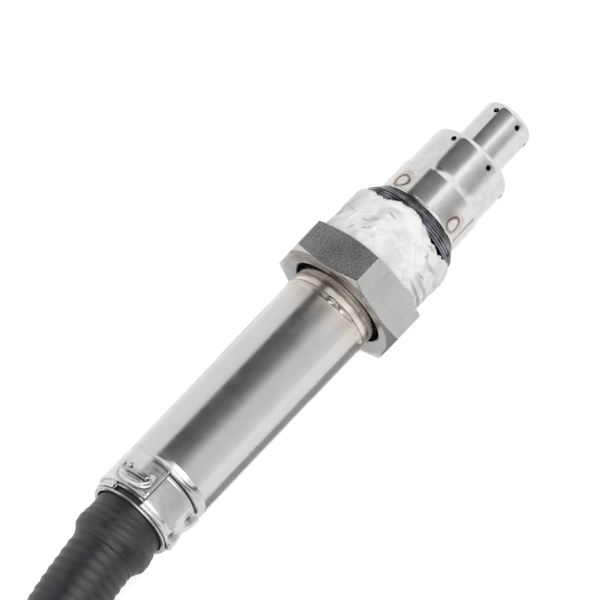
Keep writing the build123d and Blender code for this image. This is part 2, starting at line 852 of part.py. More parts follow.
# Plug housing: back shell, nose with a cavity for each terminal, and the moulded latch arm
with BuildPart() as plug_housing:
    with BuildSketch(plug_plane(shell_rear)):
        RectangleRounded(shell_width, shell_height, shell_edge)
    extrude(amount=shell_length)
    fillet(plug_housing.faces().sort_by(Axis.X)[0].edges(), shell_rear_edge)
    with BuildSketch(plug_plane(shell_front)):
        RectangleRounded(nose_width, nose_height, nose_edge)
    extrude(amount=nose_length)
    with BuildSketch(plug_plane(nose_front - cavity_depth)):
        with GridLocations(cavity_pitch_y, cavity_pitch_z, cavity_columns, cavity_rows):
            Rectangle(cavity_size, cavity_size)
    extrude(amount=cavity_depth, mode=Mode.SUBTRACT)
    latch_floor = plug_axis_z + nose_height / 2 + latch_gap
    latch_top = latch_floor + latch_thickness
    latch_end = nose_front - latch_setback
    hook_rear = latch_end - latch_hook_width
    with BuildSketch(Plane.XZ.offset(-plug_axis_y)):
        with BuildLine():
            Polyline(
                (shell_front - latch_root, latch_floor),
                (latch_end, latch_floor),
                (latch_end, latch_top + latch_hook_height),
                (hook_rear, latch_top + latch_hook_height),
                (hook_rear - latch_ramp, latch_top),
                (shell_front - latch_root, latch_top),
                close=True,
            )
        make_face()
    extrude(amount=latch_width / 2, both=True)
plug_housing.part.label = "plug_housing"

# Seal round the root of the plug's nose
with BuildPart() as plug_seal:
    with BuildSketch(plug_plane(shell_front)):
        RectangleRounded(nose_width + 2 * seal_height, nose_height + 2 * seal_height, nose_edge + seal_height)
        RectangleRounded(nose_width, nose_height, nose_edge, mode=Mode.SUBTRACT)
    extrude(amount=seal_width)
plug_seal.part.label = "plug_seal"

# Terminals in the nose's cavities
terminal_size = cavity_size - 2 * slot_clearance
terminal_bore = terminal_size - 2 * terminal_wall
with BuildPart() as plug_terminals:
    with BuildSketch(plug_plane(nose_front - cavity_depth)):
        with GridLocations(cavity_pitch_y, cavity_pitch_z, cavity_columns, cavity_rows):
            Rectangle(terminal_size, terminal_size)
            Rectangle(terminal_bore, terminal_bore, mode=Mode.SUBTRACT)
    extrude(amount=terminal_length)
plug_terminals.part.label = "plug_terminals"

# Retainer plate on the nose's front, which keeps the terminals in
retainer_opening = cavity_size - 2 * retainer_overlap
with BuildPart() as plug_retainer:
    with BuildSketch(plug_plane(nose_front + retainer_gap)):
        RectangleRounded(nose_width - 2 * retainer_margin, nose_height - 2 * retainer_margin, nose_edge)
        with GridLocations(cavity_pitch_y, cavity_pitch_z, cavity_columns, cavity_rows):
            Rectangle(retainer_opening, retainer_opening, mode=Mode.SUBTRACT)
    extrude(amount=retainer_thickness)
plug_retainer.part.label = "plug_retainer"

pieces = [
    outer_protector,
    inner_protector,
    sensing_element,
    sensor_body,
    ceramic_holder,
    talc_packing,
    ceramic_sleeve,
    packing_ring,
    swivel_nut,
    thread_paste,
    neck_weld,
    rear_tube,
    contact_insulator,
    contact_springs,
    insulator_clip,
    lead_wires,
    grommet,
    rubber_boot,
    crimp_ferrule,
    ear_clamp,
    lead_sleeve,
    lead_coil,
    lead_tail,
    plug_boot,
    plug_housing,
    plug_seal,
    plug_terminals,
    plug_retainer,
]
os.makedirs("parts", exist_ok=True)
for piece in pieces:
    export_step(piece.part, f"parts/{piece.part.label}.step")
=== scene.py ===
"""Dresses a nitrogen oxide sensor: its studio, lead, boot, clamp, paste and welds, and every finish.

Lengths are written in millimetres in the part's own frame, with +X along the probe to its tip and +Z up,
and become metres where a mesh is made. A turn is an angle round the probe, from +Z towards -Y, in degrees.
"""

import logging
import math
from collections.abc import Callable
from dataclasses import dataclass
from enum import Enum

import bpy
import numpy as np
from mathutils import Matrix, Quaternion, Vector, noise


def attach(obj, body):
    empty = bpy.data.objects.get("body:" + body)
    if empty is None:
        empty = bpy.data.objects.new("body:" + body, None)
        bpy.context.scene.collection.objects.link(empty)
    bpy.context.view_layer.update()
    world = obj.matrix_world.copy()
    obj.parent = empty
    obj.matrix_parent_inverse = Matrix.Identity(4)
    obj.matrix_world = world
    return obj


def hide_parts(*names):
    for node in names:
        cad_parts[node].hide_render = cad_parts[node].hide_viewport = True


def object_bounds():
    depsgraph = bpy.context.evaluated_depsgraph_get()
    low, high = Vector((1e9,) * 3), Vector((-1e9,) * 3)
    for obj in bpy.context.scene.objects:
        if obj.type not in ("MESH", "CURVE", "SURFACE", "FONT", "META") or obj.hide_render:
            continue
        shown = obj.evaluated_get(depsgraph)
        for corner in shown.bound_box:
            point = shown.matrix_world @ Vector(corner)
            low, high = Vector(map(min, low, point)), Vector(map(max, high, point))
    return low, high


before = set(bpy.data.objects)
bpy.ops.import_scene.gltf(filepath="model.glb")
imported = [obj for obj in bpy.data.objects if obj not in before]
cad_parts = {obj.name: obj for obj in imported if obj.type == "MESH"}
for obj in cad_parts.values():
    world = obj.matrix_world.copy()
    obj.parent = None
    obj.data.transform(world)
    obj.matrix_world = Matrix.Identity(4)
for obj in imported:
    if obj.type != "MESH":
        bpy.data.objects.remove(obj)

cad_low, cad_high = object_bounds()
log = logging.getLogger("sensor")

MM = 0.001
NOISE_SEED = 4
CLOUD = (0.3, 0.7)
BLACK = (0.0, 0.0, 0.0)
WHITE = (1.0, 1.0, 1.0)
Pair = tuple[float, float]
Colour = tuple[float, float, float]
Point = tuple[float, float, float]
Array = np.ndarray
Piece = bpy.types.Object
Material = bpy.types.Material
Socket = bpy.types.NodeSocket
noise.seed_set(NOISE_SEED)


class Body(Enum):
    """The two bodies that can turn against each other."""

    PROBE = "root"
    NUT = "nut"


def on_probe(x: float, turn: float, radius: float) -> Vector:
    """Finds the point at a place along the probe, an angle round it and a distance from its axis."""
    angle = math.radians(turn)
    return Vector((x, -radius * math.sin(angle), radius * math.cos(angle)))


def smooth_step(value: Array | float, start: float, end: float) -> Array | float:
    """Rises smoothly from 0 at start to 1 at end."""
    share = np.clip((value - start) / (end - start), 0.0, 1.0)
    return share * share * (3 - 2 * share)


@dataclass(frozen=True)
class Ridge:
    """Rounded ridge across a value, or a groove where its height is negative."""

    height: float
    middle: float
    width: float

    def at(self, value: Array) -> Array:
        """Finds the ridge's height at each value."""
        return self.height * np.exp(-(((value - self.middle) / self.width) ** 2))


@dataclass(frozen=True)
class Spot:
    """Oval spot, by the place and the turn or arc of its middle, and its half-axes."""

    x: float
    y: float
    wide: float
    long: float

    def away(self, x: Array, y: Array) -> Array:
        """Tells how far points are from the middle, with 1 on the oval."""
        return np.hypot((x - self.x) / self.wide, (y - self.y) / self.long)

    def at(self, x: Array, y: Array) -> Array:
        """Gives 1 at the middle, and falls off round it."""
        return np.exp(-(self.away(x, y) ** 2))


def grain(point: Vector, size: float, depth: int = 3) -> float:
    """Samples a cloud of noise with lumps of this size and some finer layers, from about -1 to 1."""
    return noise.fractal(point / size, 1.0, 2.0, depth)


def place_object(name: str, data: bpy.types.ID) -> Piece:
    """Links a new object with this data to the scene."""
    placed = bpy.data.objects.new(name, data)
    bpy.context.scene.collection.objects.link(placed)
    return placed


def add_object(name: str, vertices: Array, faces: list[tuple[int, ...]]) -> Piece:
    """Makes a smooth mesh object from points in millimetres.

    Args:
        name: Name of the piece.
        vertices: Points, one a row.
        faces: Corners of each face.

    Returns:
        The new object.
    """
    mesh = bpy.data.meshes.new(name)
    mesh.from_pydata((np.asarray(vertices, float) * MM).tolist(), [], faces)
    mesh.validate()
    mesh.polygons.foreach_set("use_smooth", [True] * len(mesh.polygons))
    mesh.update()
    log.info("%s: %d faces", name, len(faces))
    return place_object(name, mesh)


def add_sheet(name: str, low: Pair, high: Pair, lift: float) -> Piece:
    """Lays a flat rectangle between two corners, at a height in millimetres above the floor."""
    (left, near), (right, far) = low, high
    level = cad_low.z / MM + lift
    corners = [(x, y, level) for x, y in ((left, near), (right, near), (right, far), (left, far))]
    return add_object(name, np.array(corners), [(0, 1, 2, 3)])


def net_faces(count: int, width: int, wrap: bool) -> list[tuple[int, ...]]:
    """Lists the four-sided faces of a net, row by row.

    Args:
        count: Number of rows.
        width: Number of columns.
        wrap: Whether the last column joins the first.

    Returns:
        The corners of each face.
    """
    faces = []
    for start in range(0, (count - 1) * width, width):
        for column in range(width if wrap else width - 1):
            here, beside = start + column, start + (column + 1) % width
            faces.append((here, beside, width + beside, width + here))
    return faces


def skin(name: str, rows: Array, tube: bool = True) -> Piece:
    """Stretches a skin of four-sided faces over a net of points.

    Args:
        name: Name of the piece.
        rows: Points in millimetres, as rows by columns by three.
        tube: Whether the rows are rings, with a flat face on the first and the last.

    Returns:
        The new object.
    """
    count, width = rows.shape[:2]
    faces = net_faces(count, width, tube)
    if tube:
        faces.append(tuple(reversed(range(width))))
        faces.append(tuple(range((count - 1) * width, count * width)))
    return add_object(name, rows.reshape(-1, 3), faces)


def shell(name: str, outer: Array, inner: Array, wrap: bool) -> Piece:
    """Closes an outer and an inner net of points into one solid sheet.

    Args:
        name: Name of the piece.
        outer: Outer points in millimetres, as rows by columns by three.
        inner: Inner points, in the same order.
        wrap: Whether the last column joins the first.

    Returns:
        The new object.
    """
    count, width = outer.shape[:2]
    total = count * width
    faces = net_faces(count, width, wrap)
    faces += [tuple(total + corner for corner in reversed(face)) for face in faces]
    borders = [(list(range(width)), False), (list(range(total - width, total)), True)]
    if wrap:
        borders = [(edge + edge[:1], flip) for edge, flip in borders]
    else:
        borders += [(list(range(0, total, width)), True), (list(range(width - 1, total, width)), False)]
    for edge, flip in borders:
        for one, two in zip(edge, edge[1:]):
            face = (one, total + one, total + two, two)
            faces.append(face[::-1] if flip else face)
    return add_object(name, np.concatenate([outer.reshape(-1, 3), inner.reshape(-1, 3)]), faces)


def rings(
    stations: Array,
    centres: list[Vector] | Array,
    headings: list[Vector] | Array,
    sides: int,
    base: float,
    radius_at: Callable[[float, Vector], float],
) -> Array:
    """Lays rings of points round a line.

    Args:
        stations: Distances along the line in millimetres.
        centres: The line's point at each.
        headings: The way that the line runs there.
        sides: Number of points in a ring.
        base: Plain radius in millimetres.
        radius_at: Gives the true radius by station and place on the plain surface.

    Returns:
        The points, as rings by sides by three.
    """
    rows = np.empty((len(stations), sides, 3))
    for index, (station, centre, ahead) in enumerate(zip(stations, centres, headings)):
        middle, forward = Vector(centre), Vector(ahead)
        side = Vector((0.0, 0.0, 1.0)).cross(forward).normalized()
        upright = forward.cross(side).normalized()
        for column in range(sides):
            angle = 2 * math.pi * column / sides
            outward = side * math.cos(angle) + upright * math.sin(angle)
            rows[index, column] = middle + outward * radius_at(station, middle + outward * base)
    return rows


def store(piece: Piece, name: str, outer: Array) -> None:
    """Stores a value at each point of a shell's outer face, and the same at the inner points behind them.

    Args:
        piece: The shell.
        name: Name of the value.
        outer: The values, in rows by columns.
    """
    values = np.clip(outer, 0.0, 1.0).ravel()
    stored = piece.data.attributes.new(name, "FLOAT", "POINT")
    stored.data.foreach_set("value", np.concatenate([values, values]))


def round_the_probe(places: Array, turns: Array, radii: Array | float) -> Array:
    """Finds a net of points from places along the probe, angles round it and distances from its axis."""
    angles = np.radians(turns)
    return np.stack([places, -radii * np.sin(angles), radii * np.cos(angles)], axis=-1)


def sampled(points: Array, size: float, depth: int = 3) -> Array:
    """Samples a cloud of noise at each point of a net, from about -1 to 1."""
    flat = [grain(Vector(point), size, depth) for point in points.reshape(-1, 3)]
    return np.array(flat).reshape(points.shape[:-1])


def dress(piece: Piece, material: Material) -> None:
    """Gives a whole piece one material."""
    piece.data.materials.clear()
    piece.data.materials.append(material)


class Bench:
    """Builds nodes in one node tree, with places in millimetres."""

    def __init__(self, tree: bpy.types.NodeTree, coordinates: str, unit: float) -> None:
        """Starts with the place that is shaded.

        Args:
            tree: Tree that takes the nodes.
            coordinates: Output of the texture coordinates to start from.
            unit: What one unit of them is, in the unit wanted.
        """
        self.tree = tree
        self.texture = tree.nodes.new("ShaderNodeTexCoord")
        self.place = self.scaled(self.texture.outputs[coordinates], unit)
        self.x, self.y, self.z = self.split(self.place)

    def plug(self, target: Socket, value: Socket | float | Colour) -> None:
        """Joins a socket to another, or sets its value.

        Args:
            target: Input to fill.
            value: Output to join it to, or a plain value.
        """
        if isinstance(value, Socket):
            self.tree.links.new(value, target)
        elif isinstance(value, tuple) and len(target.default_value) == len(value) + 1:
            target.default_value = (*value, 1.0)
        else:
            target.default_value = value

    def add(
        self,
        kind: str,
        inputs: dict[int | str, Socket | float | Point],
        output: int | str = 0,
        **settings: str | bool,
    ) -> Socket:
        """Adds a node.

        Args:
            kind: What Blender calls it, after "ShaderNode".
            inputs: What fills its inputs, by number or name.
            output: Number or name of the output that is wanted.
            settings: Its other settings.

        Returns:
            The output.
        """
        node = self.tree.nodes.new("ShaderNode" + kind)
        for name, value in settings.items():
            setattr(node, name, value)
        for name, value in inputs.items():
            self.plug(node.inputs[name], value)
        return node.outputs[output]

    def scaled(self, vector: Socket, factor: float) -> Socket:
        """Multiplies a vector."""
        return self.add("VectorMath", {0: vector, 1: (factor, factor, factor)}, operation="MULTIPLY")

    def split(self, vector: Socket) -> tuple[Socket, ...]:
        """Splits a vector into its three numbers."""
        return tuple(self.add("SeparateXYZ", {0: vector}, axis) for axis in "XYZ")

    def seen_by(self, ray: str) -> Socket:
        """Gives 1 to this kind of ray, and 0 to all others."""
        return self.add("LightPath", {}, f"Is {ray} Ray")

    def math(self, operation: str, *values: Socket | float, clamp: bool = False) -> Socket:
        """Works out one sum, clamped between 0 and 1 if that is asked."""
        return self.add("Math", dict(enumerate(values)), operation=operation, use_clamp=clamp)

    def times(self, first: Socket | float, second: Socket | float) -> Socket:
        """Multiplies two values."""
        return self.math("MULTIPLY", first, second)

    def away(self, value: Socket, middle: float) -> Socket:
        """Tells how far a value is from the middle."""
        return self.math("ABSOLUTE", self.math("SUBTRACT", value, middle))

    def share(self, value: Socket, low: float, high: float) -> Socket:
        """Tells how far a value is on its way from low to high, from 0 to 1."""
        return self.math("DIVIDE", self.math("SUBTRACT", value, low), high - low, clamp=True)

    def turn(self) -> Socket:
        """Works out the angle round the probe, in degrees from +Z towards -Y."""
        return self.times(self.math("ARCTAN2", self.times(self.y, -1.0), self.z), 180.0 / math.pi)

    def ramp(self, value: Socket, stops: tuple[Pair, ...]) -> Socket:
        """Turns a value into a brightness.

        Args:
            value: The value.
            stops: Values and the brightness at each, in rising order.

        Returns:
            The brightness as a grey colour.
        """
        low, high = stops[0][0], stops[-1][0]
        node = self.tree.nodes.new("ShaderNodeValToRGB")
        band = node.color_ramp
        band.elements[0].position, band.elements[1].position = 0.0, 1.0
        for place, _ in stops[1:-1]:
            band.elements.new((place - low) / (high - low))
        for element, (_, light) in zip(band.elements, stops):
            element.color = (light, light, light, 1.0)
        self.plug(node.inputs[0], self.share(value, low, high))
        return node.outputs[0]

    def mix(self, share: Socket | float, first: Socket | Colour, second: Socket | Colour) -> Socket:
        """Mixes two colours.

        Args:
            share: How much of the second shows, from 0 to 1.
            first: Colour at 0.
            second: Colour at 1.

        Returns:
            The mixed colour.
        """
        return self.add("Mix", {0: share, 6: first, 7: second}, 2, data_type="RGBA")

    def span(self, value: Socket, low: float, high: float, start: float = 0.0, end: float = 1.0) -> Socket:
        """Maps a value's range to another, smoothly and without overshoot.

        Args:
            value: The value.
            low: Value that gives start.
            high: Value that gives end.
            start: Result at low.
            end: Result at high.

        Returns:
            The mapped value.
        """
        inputs = dict(enumerate((value, low, high, start, end)))
        return self.add("MapRange", inputs, interpolation_type="SMOOTHSTEP")

    def near(self, value: Socket, middle: float, reach: float) -> Socket:
        """Gives 1 where a value is at the middle, and falls smoothly to 0 at the reach on both sides."""
        return self.span(self.away(value, middle), 0.0, reach, 1.0, 0.0)

    def noise(self, size: float, detail: float = 2.0) -> Socket:
        """Samples a cloud of noise.

        Args:
            size: Size of its lumps in millimetres.
            detail: Number of finer layers.

        Returns:
            The noise, from 0 to 1.
        """
        place = self.scaled(self.place, 1 / size)
        return self.add("TexNoise", {"Vector": place, "Scale": 1.0, "Detail": detail}, "Fac")

    def cloud(self, size: float, low: float, high: float, detail: float = 2.0) -> Socket:
        """Samples a cloud of noise and spreads it from low to high."""
        return self.span(self.noise(size, detail), *CLOUD, low, high)


class Shader(Bench):
    """Builds one material's nodes round its surface shader."""

    def __init__(self, name: str) -> None:
        """Starts a material of this name."""
        self.material = bpy.data.materials.new(name)
        self.material.use_nodes = True
        super().__init__(self.material.node_tree, "Object", 1 / MM)
        self.surface = self.tree.nodes["Principled BSDF"]

    def stored(self, name: str) -> Socket:
        """Reads a value that the mesh stores at each of its points."""
        return self.add("Attribute", {}, "Fac", attribute_name=name)

    def facing_up(self) -> Socket:
        """Tells how far the surface faces along the piece's own Z, from -1 to 1."""
        return self.split(self.texture.outputs["Normal"])[2]

    def bump(self, height: Socket, depth: float) -> None:
        """Raises the surface by a height, on top of what is there already.

        Args:
            height: Height, from 0 to 1.
            depth: What a height of 1 stands for, in millimetres; negative to sink it.
        """
        height = height if depth > 0 else self.times(height, -1.0)
        inputs = {"Strength": 1.0, "Distance": abs(depth) * MM, "Height": height}
        normal = self.surface.inputs["Normal"]
        if normal.is_linked:
            inputs["Normal"] = normal.links[0].from_socket
        self.tree.links.new(self.add("Bump", inputs), normal)

    def finish(self, colour: Socket | Colour, roughness: Socket | float, **fixed: float) -> Material:
        """Fills the surface shader's inputs.

        Args:
            colour: Base colour.
            roughness: Roughness.
            fixed: Other inputs by name, with underscores for spaces.

        Returns:
            The finished material.
        """
        self.plug(self.surface.inputs["Base Color"], colour)
        self.plug(self.surface.inputs["Roughness"], roughness)
        for name, value in fixed.items():
            self.surface.inputs[name.replace("_", " ")].default_value = value
        return self.material

    def shine(self, colour: Socket | Colour, strength: Socket | float) -> None:
        """Lets the surface shine with a colour and a strength."""
        self.plug(self.surface.inputs["Emission Color"], colour)
        self.plug(self.surface.inputs["Emission Strength"], strength)


@dataclass(frozen=True)
class Finish:
    """Surface with a fine grain, and with a colour that changes slowly over it."""

    name: str
    colour: Colour
    roughness: float
    grain_size: float = 0.25
    grain_depth: float = 0.002
    mottle_size: float = 3.0
    mottle: float = 0.06
    shade: float = 0.06

    def make(self) -> Material:
        """Makes the finish's material.

        Returns:
            The material.
        """
        shader = Shader(self.name)
        clouds, fine = shader.noise(self.mottle_size, 3.0), shader.noise(self.grain_size)
        changes = (-self.shade, self.shade)
        dark, light = (tuple(part * (1 + change) for part in self.colour) for change in changes)
        colour = shader.mix(shader.span(clouds, *CLOUD), dark, light)
        roughness = self.fill(shader, clouds, fine)
        shader.bump(fine, self.grain_depth)
        return shader.finish(self.tinted(shader, colour), roughness)

    def fill(self, shader: Shader, clouds: Socket, fine: Socket) -> Socket:
        """Fills what the kind of surface asks for, and gives its roughness.

        Args:
            shader: The shader under construction.
            clouds: Noise with large lumps.
            fine: Noise with small ones.

        Returns:
            The roughness.
        """
        return shader.span(fine, *CLOUD, self.roughness - self.mottle, self.roughness + self.mottle)

    def tinted(self, shader: Shader, colour: Socket) -> Socket:
        """Colours single places; a plain surface has none."""
        return colour


@dataclass(frozen=True)
class Steel(Finish):
    """Bare steel, with gloss that changes slowly too."""

    def fill(self, shader: Shader, clouds: Socket, fine: Socket) -> Socket:
        """Makes it metal, and varies the gloss."""
        shader.finish(self.colour, self.roughness, Metallic=1.0)
        gloss = shader.span(clouds, 0.25, 0.75, self.roughness - self.mottle, self.roughness + self.mottle)
        return shader.math("ADD", gloss, shader.span(fine, *CLOUD, -self.mottle, self.mottle))


@dataclass(frozen=True)
class TubeSteel(Steel):
    """Satin tube, straw-coloured where the weld has heated it, with its far end rolled in."""

    heated_from: float = -22.0
    heated_to: float = -18.2
    heat_share: float = 0.55
    straw: Colour = (0.62, 0.55, 0.46)
    rolled_from: float = -55.6
    rolled_to: float = -56.8
    rolled_drop: float = 0.5
    roll_power: float = 1.2

    def tinted(self, shader: Shader, colour: Socket) -> Socket:
        """Rolls the far end in a little, and tints the end by the weld."""
        rolled = shader.share(shader.x, self.rolled_from, self.rolled_to)
        shader.bump(shader.math("POWER", rolled, self.roll_power), -self.rolled_drop)
        heat_and_shade = shader.span(shader.x, self.heated_from, self.heated_to, 0.0, self.heat_share)
        return shader.mix(heat_and_shade, colour, self.straw)


@dataclass(frozen=True)
class CapSteel(Steel):
    """Drawn protector: rolled rear rim, hollow flare in front of it, and brown halos round the spot welds."""

    flare_from: float = 10.15
    flare_to: float = 11.75
    flare_drop: float = 0.18
    rim_from: float = 4.9
    rim_to: float = 4.3
    rim_drop: float = 0.14
    weld_turns: tuple[float, ...] = (-21.0, 69.0, 159.0, -111.0)
    radius: float = 7.6
    halo: Colour = (0.42, 0.3, 0.22)
    halo_x: float = 6.5
    halo_from: float = 1.0
    halo_to: float = 2.3
    halo_share: float = 0.62

    def tinted(self, shader: Shader, colour: Socket) -> Socket:
        """Shapes the flare and the rim, and paints the halos."""
        along = shader.share(shader.x, self.flare_from, self.flare_to)
        shader.bump(shader.times(along, shader.math("SUBTRACT", 1.0, along)), -self.flare_drop)
        rim = shader.share(shader.x, self.rim_from, self.rim_to)
        shader.bump(shader.times(rim, rim), -self.rim_drop)
        for turn in self.weld_turns:
            centre = tuple(on_probe(self.halo_x, turn, self.radius))
            away = shader.add("VectorMath", {0: shader.place, 1: centre}, "Value", operation="DISTANCE")
            uneven = shader.math("ADD", away, shader.cloud(1.2, -0.22, 0.22))
            share = shader.span(uneven, self.halo_from, self.halo_to, self.halo_share, 0.0)
            colour = shader.mix(share, colour, self.halo)
        return colour


@dataclass(frozen=True)
class BodySteel(Steel):
    """Sensor body: a neck with heat bands behind the nut, and a dark, finely turned flange in front."""

    straw_from: float = -18.0
    brown_at: float = -16.2
    brown_reach: float = 0.5
    brown: Colour = (0.36, 0.27, 0.2)
    straw: Colour = (0.84, 0.79, 0.73)
    front_from: float = -2.0
    lines_from: float = 3.7
    lines_to: float = 3.1
    oxide: Colour = (0.02, 0.02, 0.022)
    violet: Colour = (0.13, 0.128, 0.155)
    line: Colour = (0.75, 0.74, 0.74)
    line_pitch: float = 0.5
    line_depth: float = 0.03

    def tinted(self, shader: Shader, colour: Socket) -> Socket:
        """Paints the heat bands, the oxide and the turned lines."""
        x = shader.math("ADD", shader.x, shader.cloud(1.6, -0.14, 0.14, 3.0))
        colour = shader.mix(shader.span(x, self.straw_from, self.brown_at, 0.9, 0.4), colour, self.straw)
        burnt = shader.times(shader.near(x, self.brown_at, self.brown_reach), 0.8)
        colour = shader.mix(burnt, colour, self.brown)
        stained = shader.mix(shader.span(shader.noise(2.4, 3.0), 0.42, 0.62), self.oxide, self.violet)
        wave = shader.math("SINE", shader.times(shader.x, 2 * math.pi / self.line_pitch))
        patches = shader.span(shader.noise(3.0), 0.38, 0.62, 0.05, 0.5)
        # pale crests painted on the turned lines, in patches, fading out towards the collar
        pale_crests = shader.times(shader.span(wave, 0.45, 1.0), patches)
        pale_crests = shader.times(pale_crests, shader.span(shader.x, self.lines_to, self.lines_from, 1.0, 0.0))
        front = shader.math("GREATER_THAN", shader.x, self.front_from)
        shader.bump(shader.times(front, wave), self.line_depth)
        return shader.mix(front, colour, shader.mix(pale_crests, stained, self.line))


@dataclass(frozen=True)
class NutSteel(Steel):
    """Machined nut: speckled flats, with painted shade on those facing up, on the top of the rear face and on
    the nose under the paste.
    """

    rear_face: float = -14.9
    # painted shade: brown-grey that darkens the rear face towards its top
    heat_and_shade: Colour = (0.3, 0.275, 0.26)
    speckle: float = 0.85
    # cut-mark speckle, painted darker on the flats that face up as painted shade
    marks_and_shade: Colour = (0.17, 0.17, 0.17)
    nose_from: float = -1.0
    nose_to: float = -0.6
    # painted shade on the nose, in the gap between the paste and the flange
    nose_shade: Colour = (0.07, 0.07, 0.08)

    def tinted(self, shader: Shader, colour: Socket) -> Socket:
        """Paints speckle on the flats, darker as painted shade on those that face up, and painted shade on
        the rear face and the nose.
        """
        dots = shader.times(shader.span(shader.noise(0.22, 1.0), 0.4, 0.6), shader.cloud(3.5, 0.75, 1.0))
        upper = shader.times(shader.span(shader.facing_up(), 0.75, 0.97, 0.08, 1.0), self.speckle)
        # speckle: cut marks, darkened on the up-facing flats by painted shade
        colour = shader.mix(shader.times(dots, upper), colour, self.marks_and_shade)
        behind = shader.math("LESS_THAN", shader.x, self.rear_face)
        height = shader.math("ADD", shader.z, shader.cloud(4.0, -2.0, 2.0))
        # painted shade darkening the rear face towards its top
        colour = shader.mix(shader.times(behind, shader.span(height, 2.0, 11.0)), colour, self.heat_and_shade)
        # painted shade on the nose under the paste
        return shader.mix(shader.span(shader.x, self.nose_from, self.nose_to), colour, self.nose_shade)


@dataclass(frozen=True)
class WorkedSteel(Steel):
    """Welded or pressed metal: pale where it stands up, with painted shade in its hollows and oxide on the
    welds, as the mesh stores.
    """

    # colour of the painted shade in the hollows, and of weld oxide on the welds
    hollow: Colour = (0.16, 0.12, 0.1)

    def tinted(self, shader: Shader, colour: Socket) -> Socket:
        """Darkens the hollows with the painted shade and weld oxide that the mesh stores."""
        return shader.mix(shader.stored("hollow"), colour, self.hollow)


@dataclass(frozen=True)
class Moulded(Finish):
    """Rubber, plastic or fired ceramic."""

    grain_size: float = 0.3
    grain_depth: float = 0.01
    mottle_size: float = 2.5
    shade: float = 0.15
    specular: float = 0.5

    def fill(self, shader: Shader, clouds: Socket, fine: Socket) -> Socket:
        """Sets how strongly it reflects."""
        shader.finish(self.colour, self.roughness, Specular_IOR_Level=self.specular)
        return super().fill(shader, clouds, fine)


@dataclass(frozen=True)
class Paste(Moulded):
    """Dried white paste: painted shade in its folds and creases, and grey where the thread shows through,
    with painted shade in its valleys.
    """

    # colour of the painted shade, and of the thread showing through
    crease: Colour = (0.3, 0.3, 0.32)

    def tinted(self, shader: Shader, colour: Socket) -> Socket:
        """Greys the folds and creases with painted shade, and the thread where it shows."""
        return shader.mix(shader.stored("crease"), colour, self.crease)


def hang(stand: Piece, shader: Shader) -> None:
    """Makes a studio card that steel alone mirrors, hidden from the camera, diffuse light, transmission and
    shadows.

    Args:
        stand: The card.
        shader: Its shader, which shines.
    """
    dress(stand, shader.finish(BLACK, 1.0, Specular_IOR_Level=0.0))
    stand.visible_camera = stand.visible_diffuse = False
    stand.visible_transmission = stand.visible_shadow = False


@dataclass(frozen=True)
class Card:
    """Curved studio card round the probe that only polished steel mirrors, with bands of its own."""

    name: str
    from_x: float
    to_x: float
    bands: tuple[Pair, ...]
    radius: float = 60.0
    segments: int = 48

    def build(self) -> None:
        """Hangs the card."""
        turns = np.linspace(self.bands[0][0], self.bands[-1][0], self.segments + 1)
        places, angles = np.meshgrid([self.from_x, self.to_x], turns, indexing="ij")
        shader = Shader(self.name)
        shader.shine(shader.ramp(shader.turn(), self.bands), 1.0)
        hang(skin(self.name, round_the_probe(places, angles, self.radius), tube=False), shader)


@dataclass(frozen=True)
class Strip:
    """Dark strip on the floor beside the probe, that only polished steel mirrors: painted shade in place of
    the floor's shade.
    """

    name: str
    low: Pair
    high: Pair
    brightness: float
    lift: float = 0.06

    def build(self) -> None:
        """Lays the strip."""
        shader = Shader(self.name)
        shader.shine(WHITE, shader.cloud(2.0, self.brightness * 0.9, self.brightness * 1.1))
        hang(add_sheet(self.name, self.low, self.high, self.lift), shader)


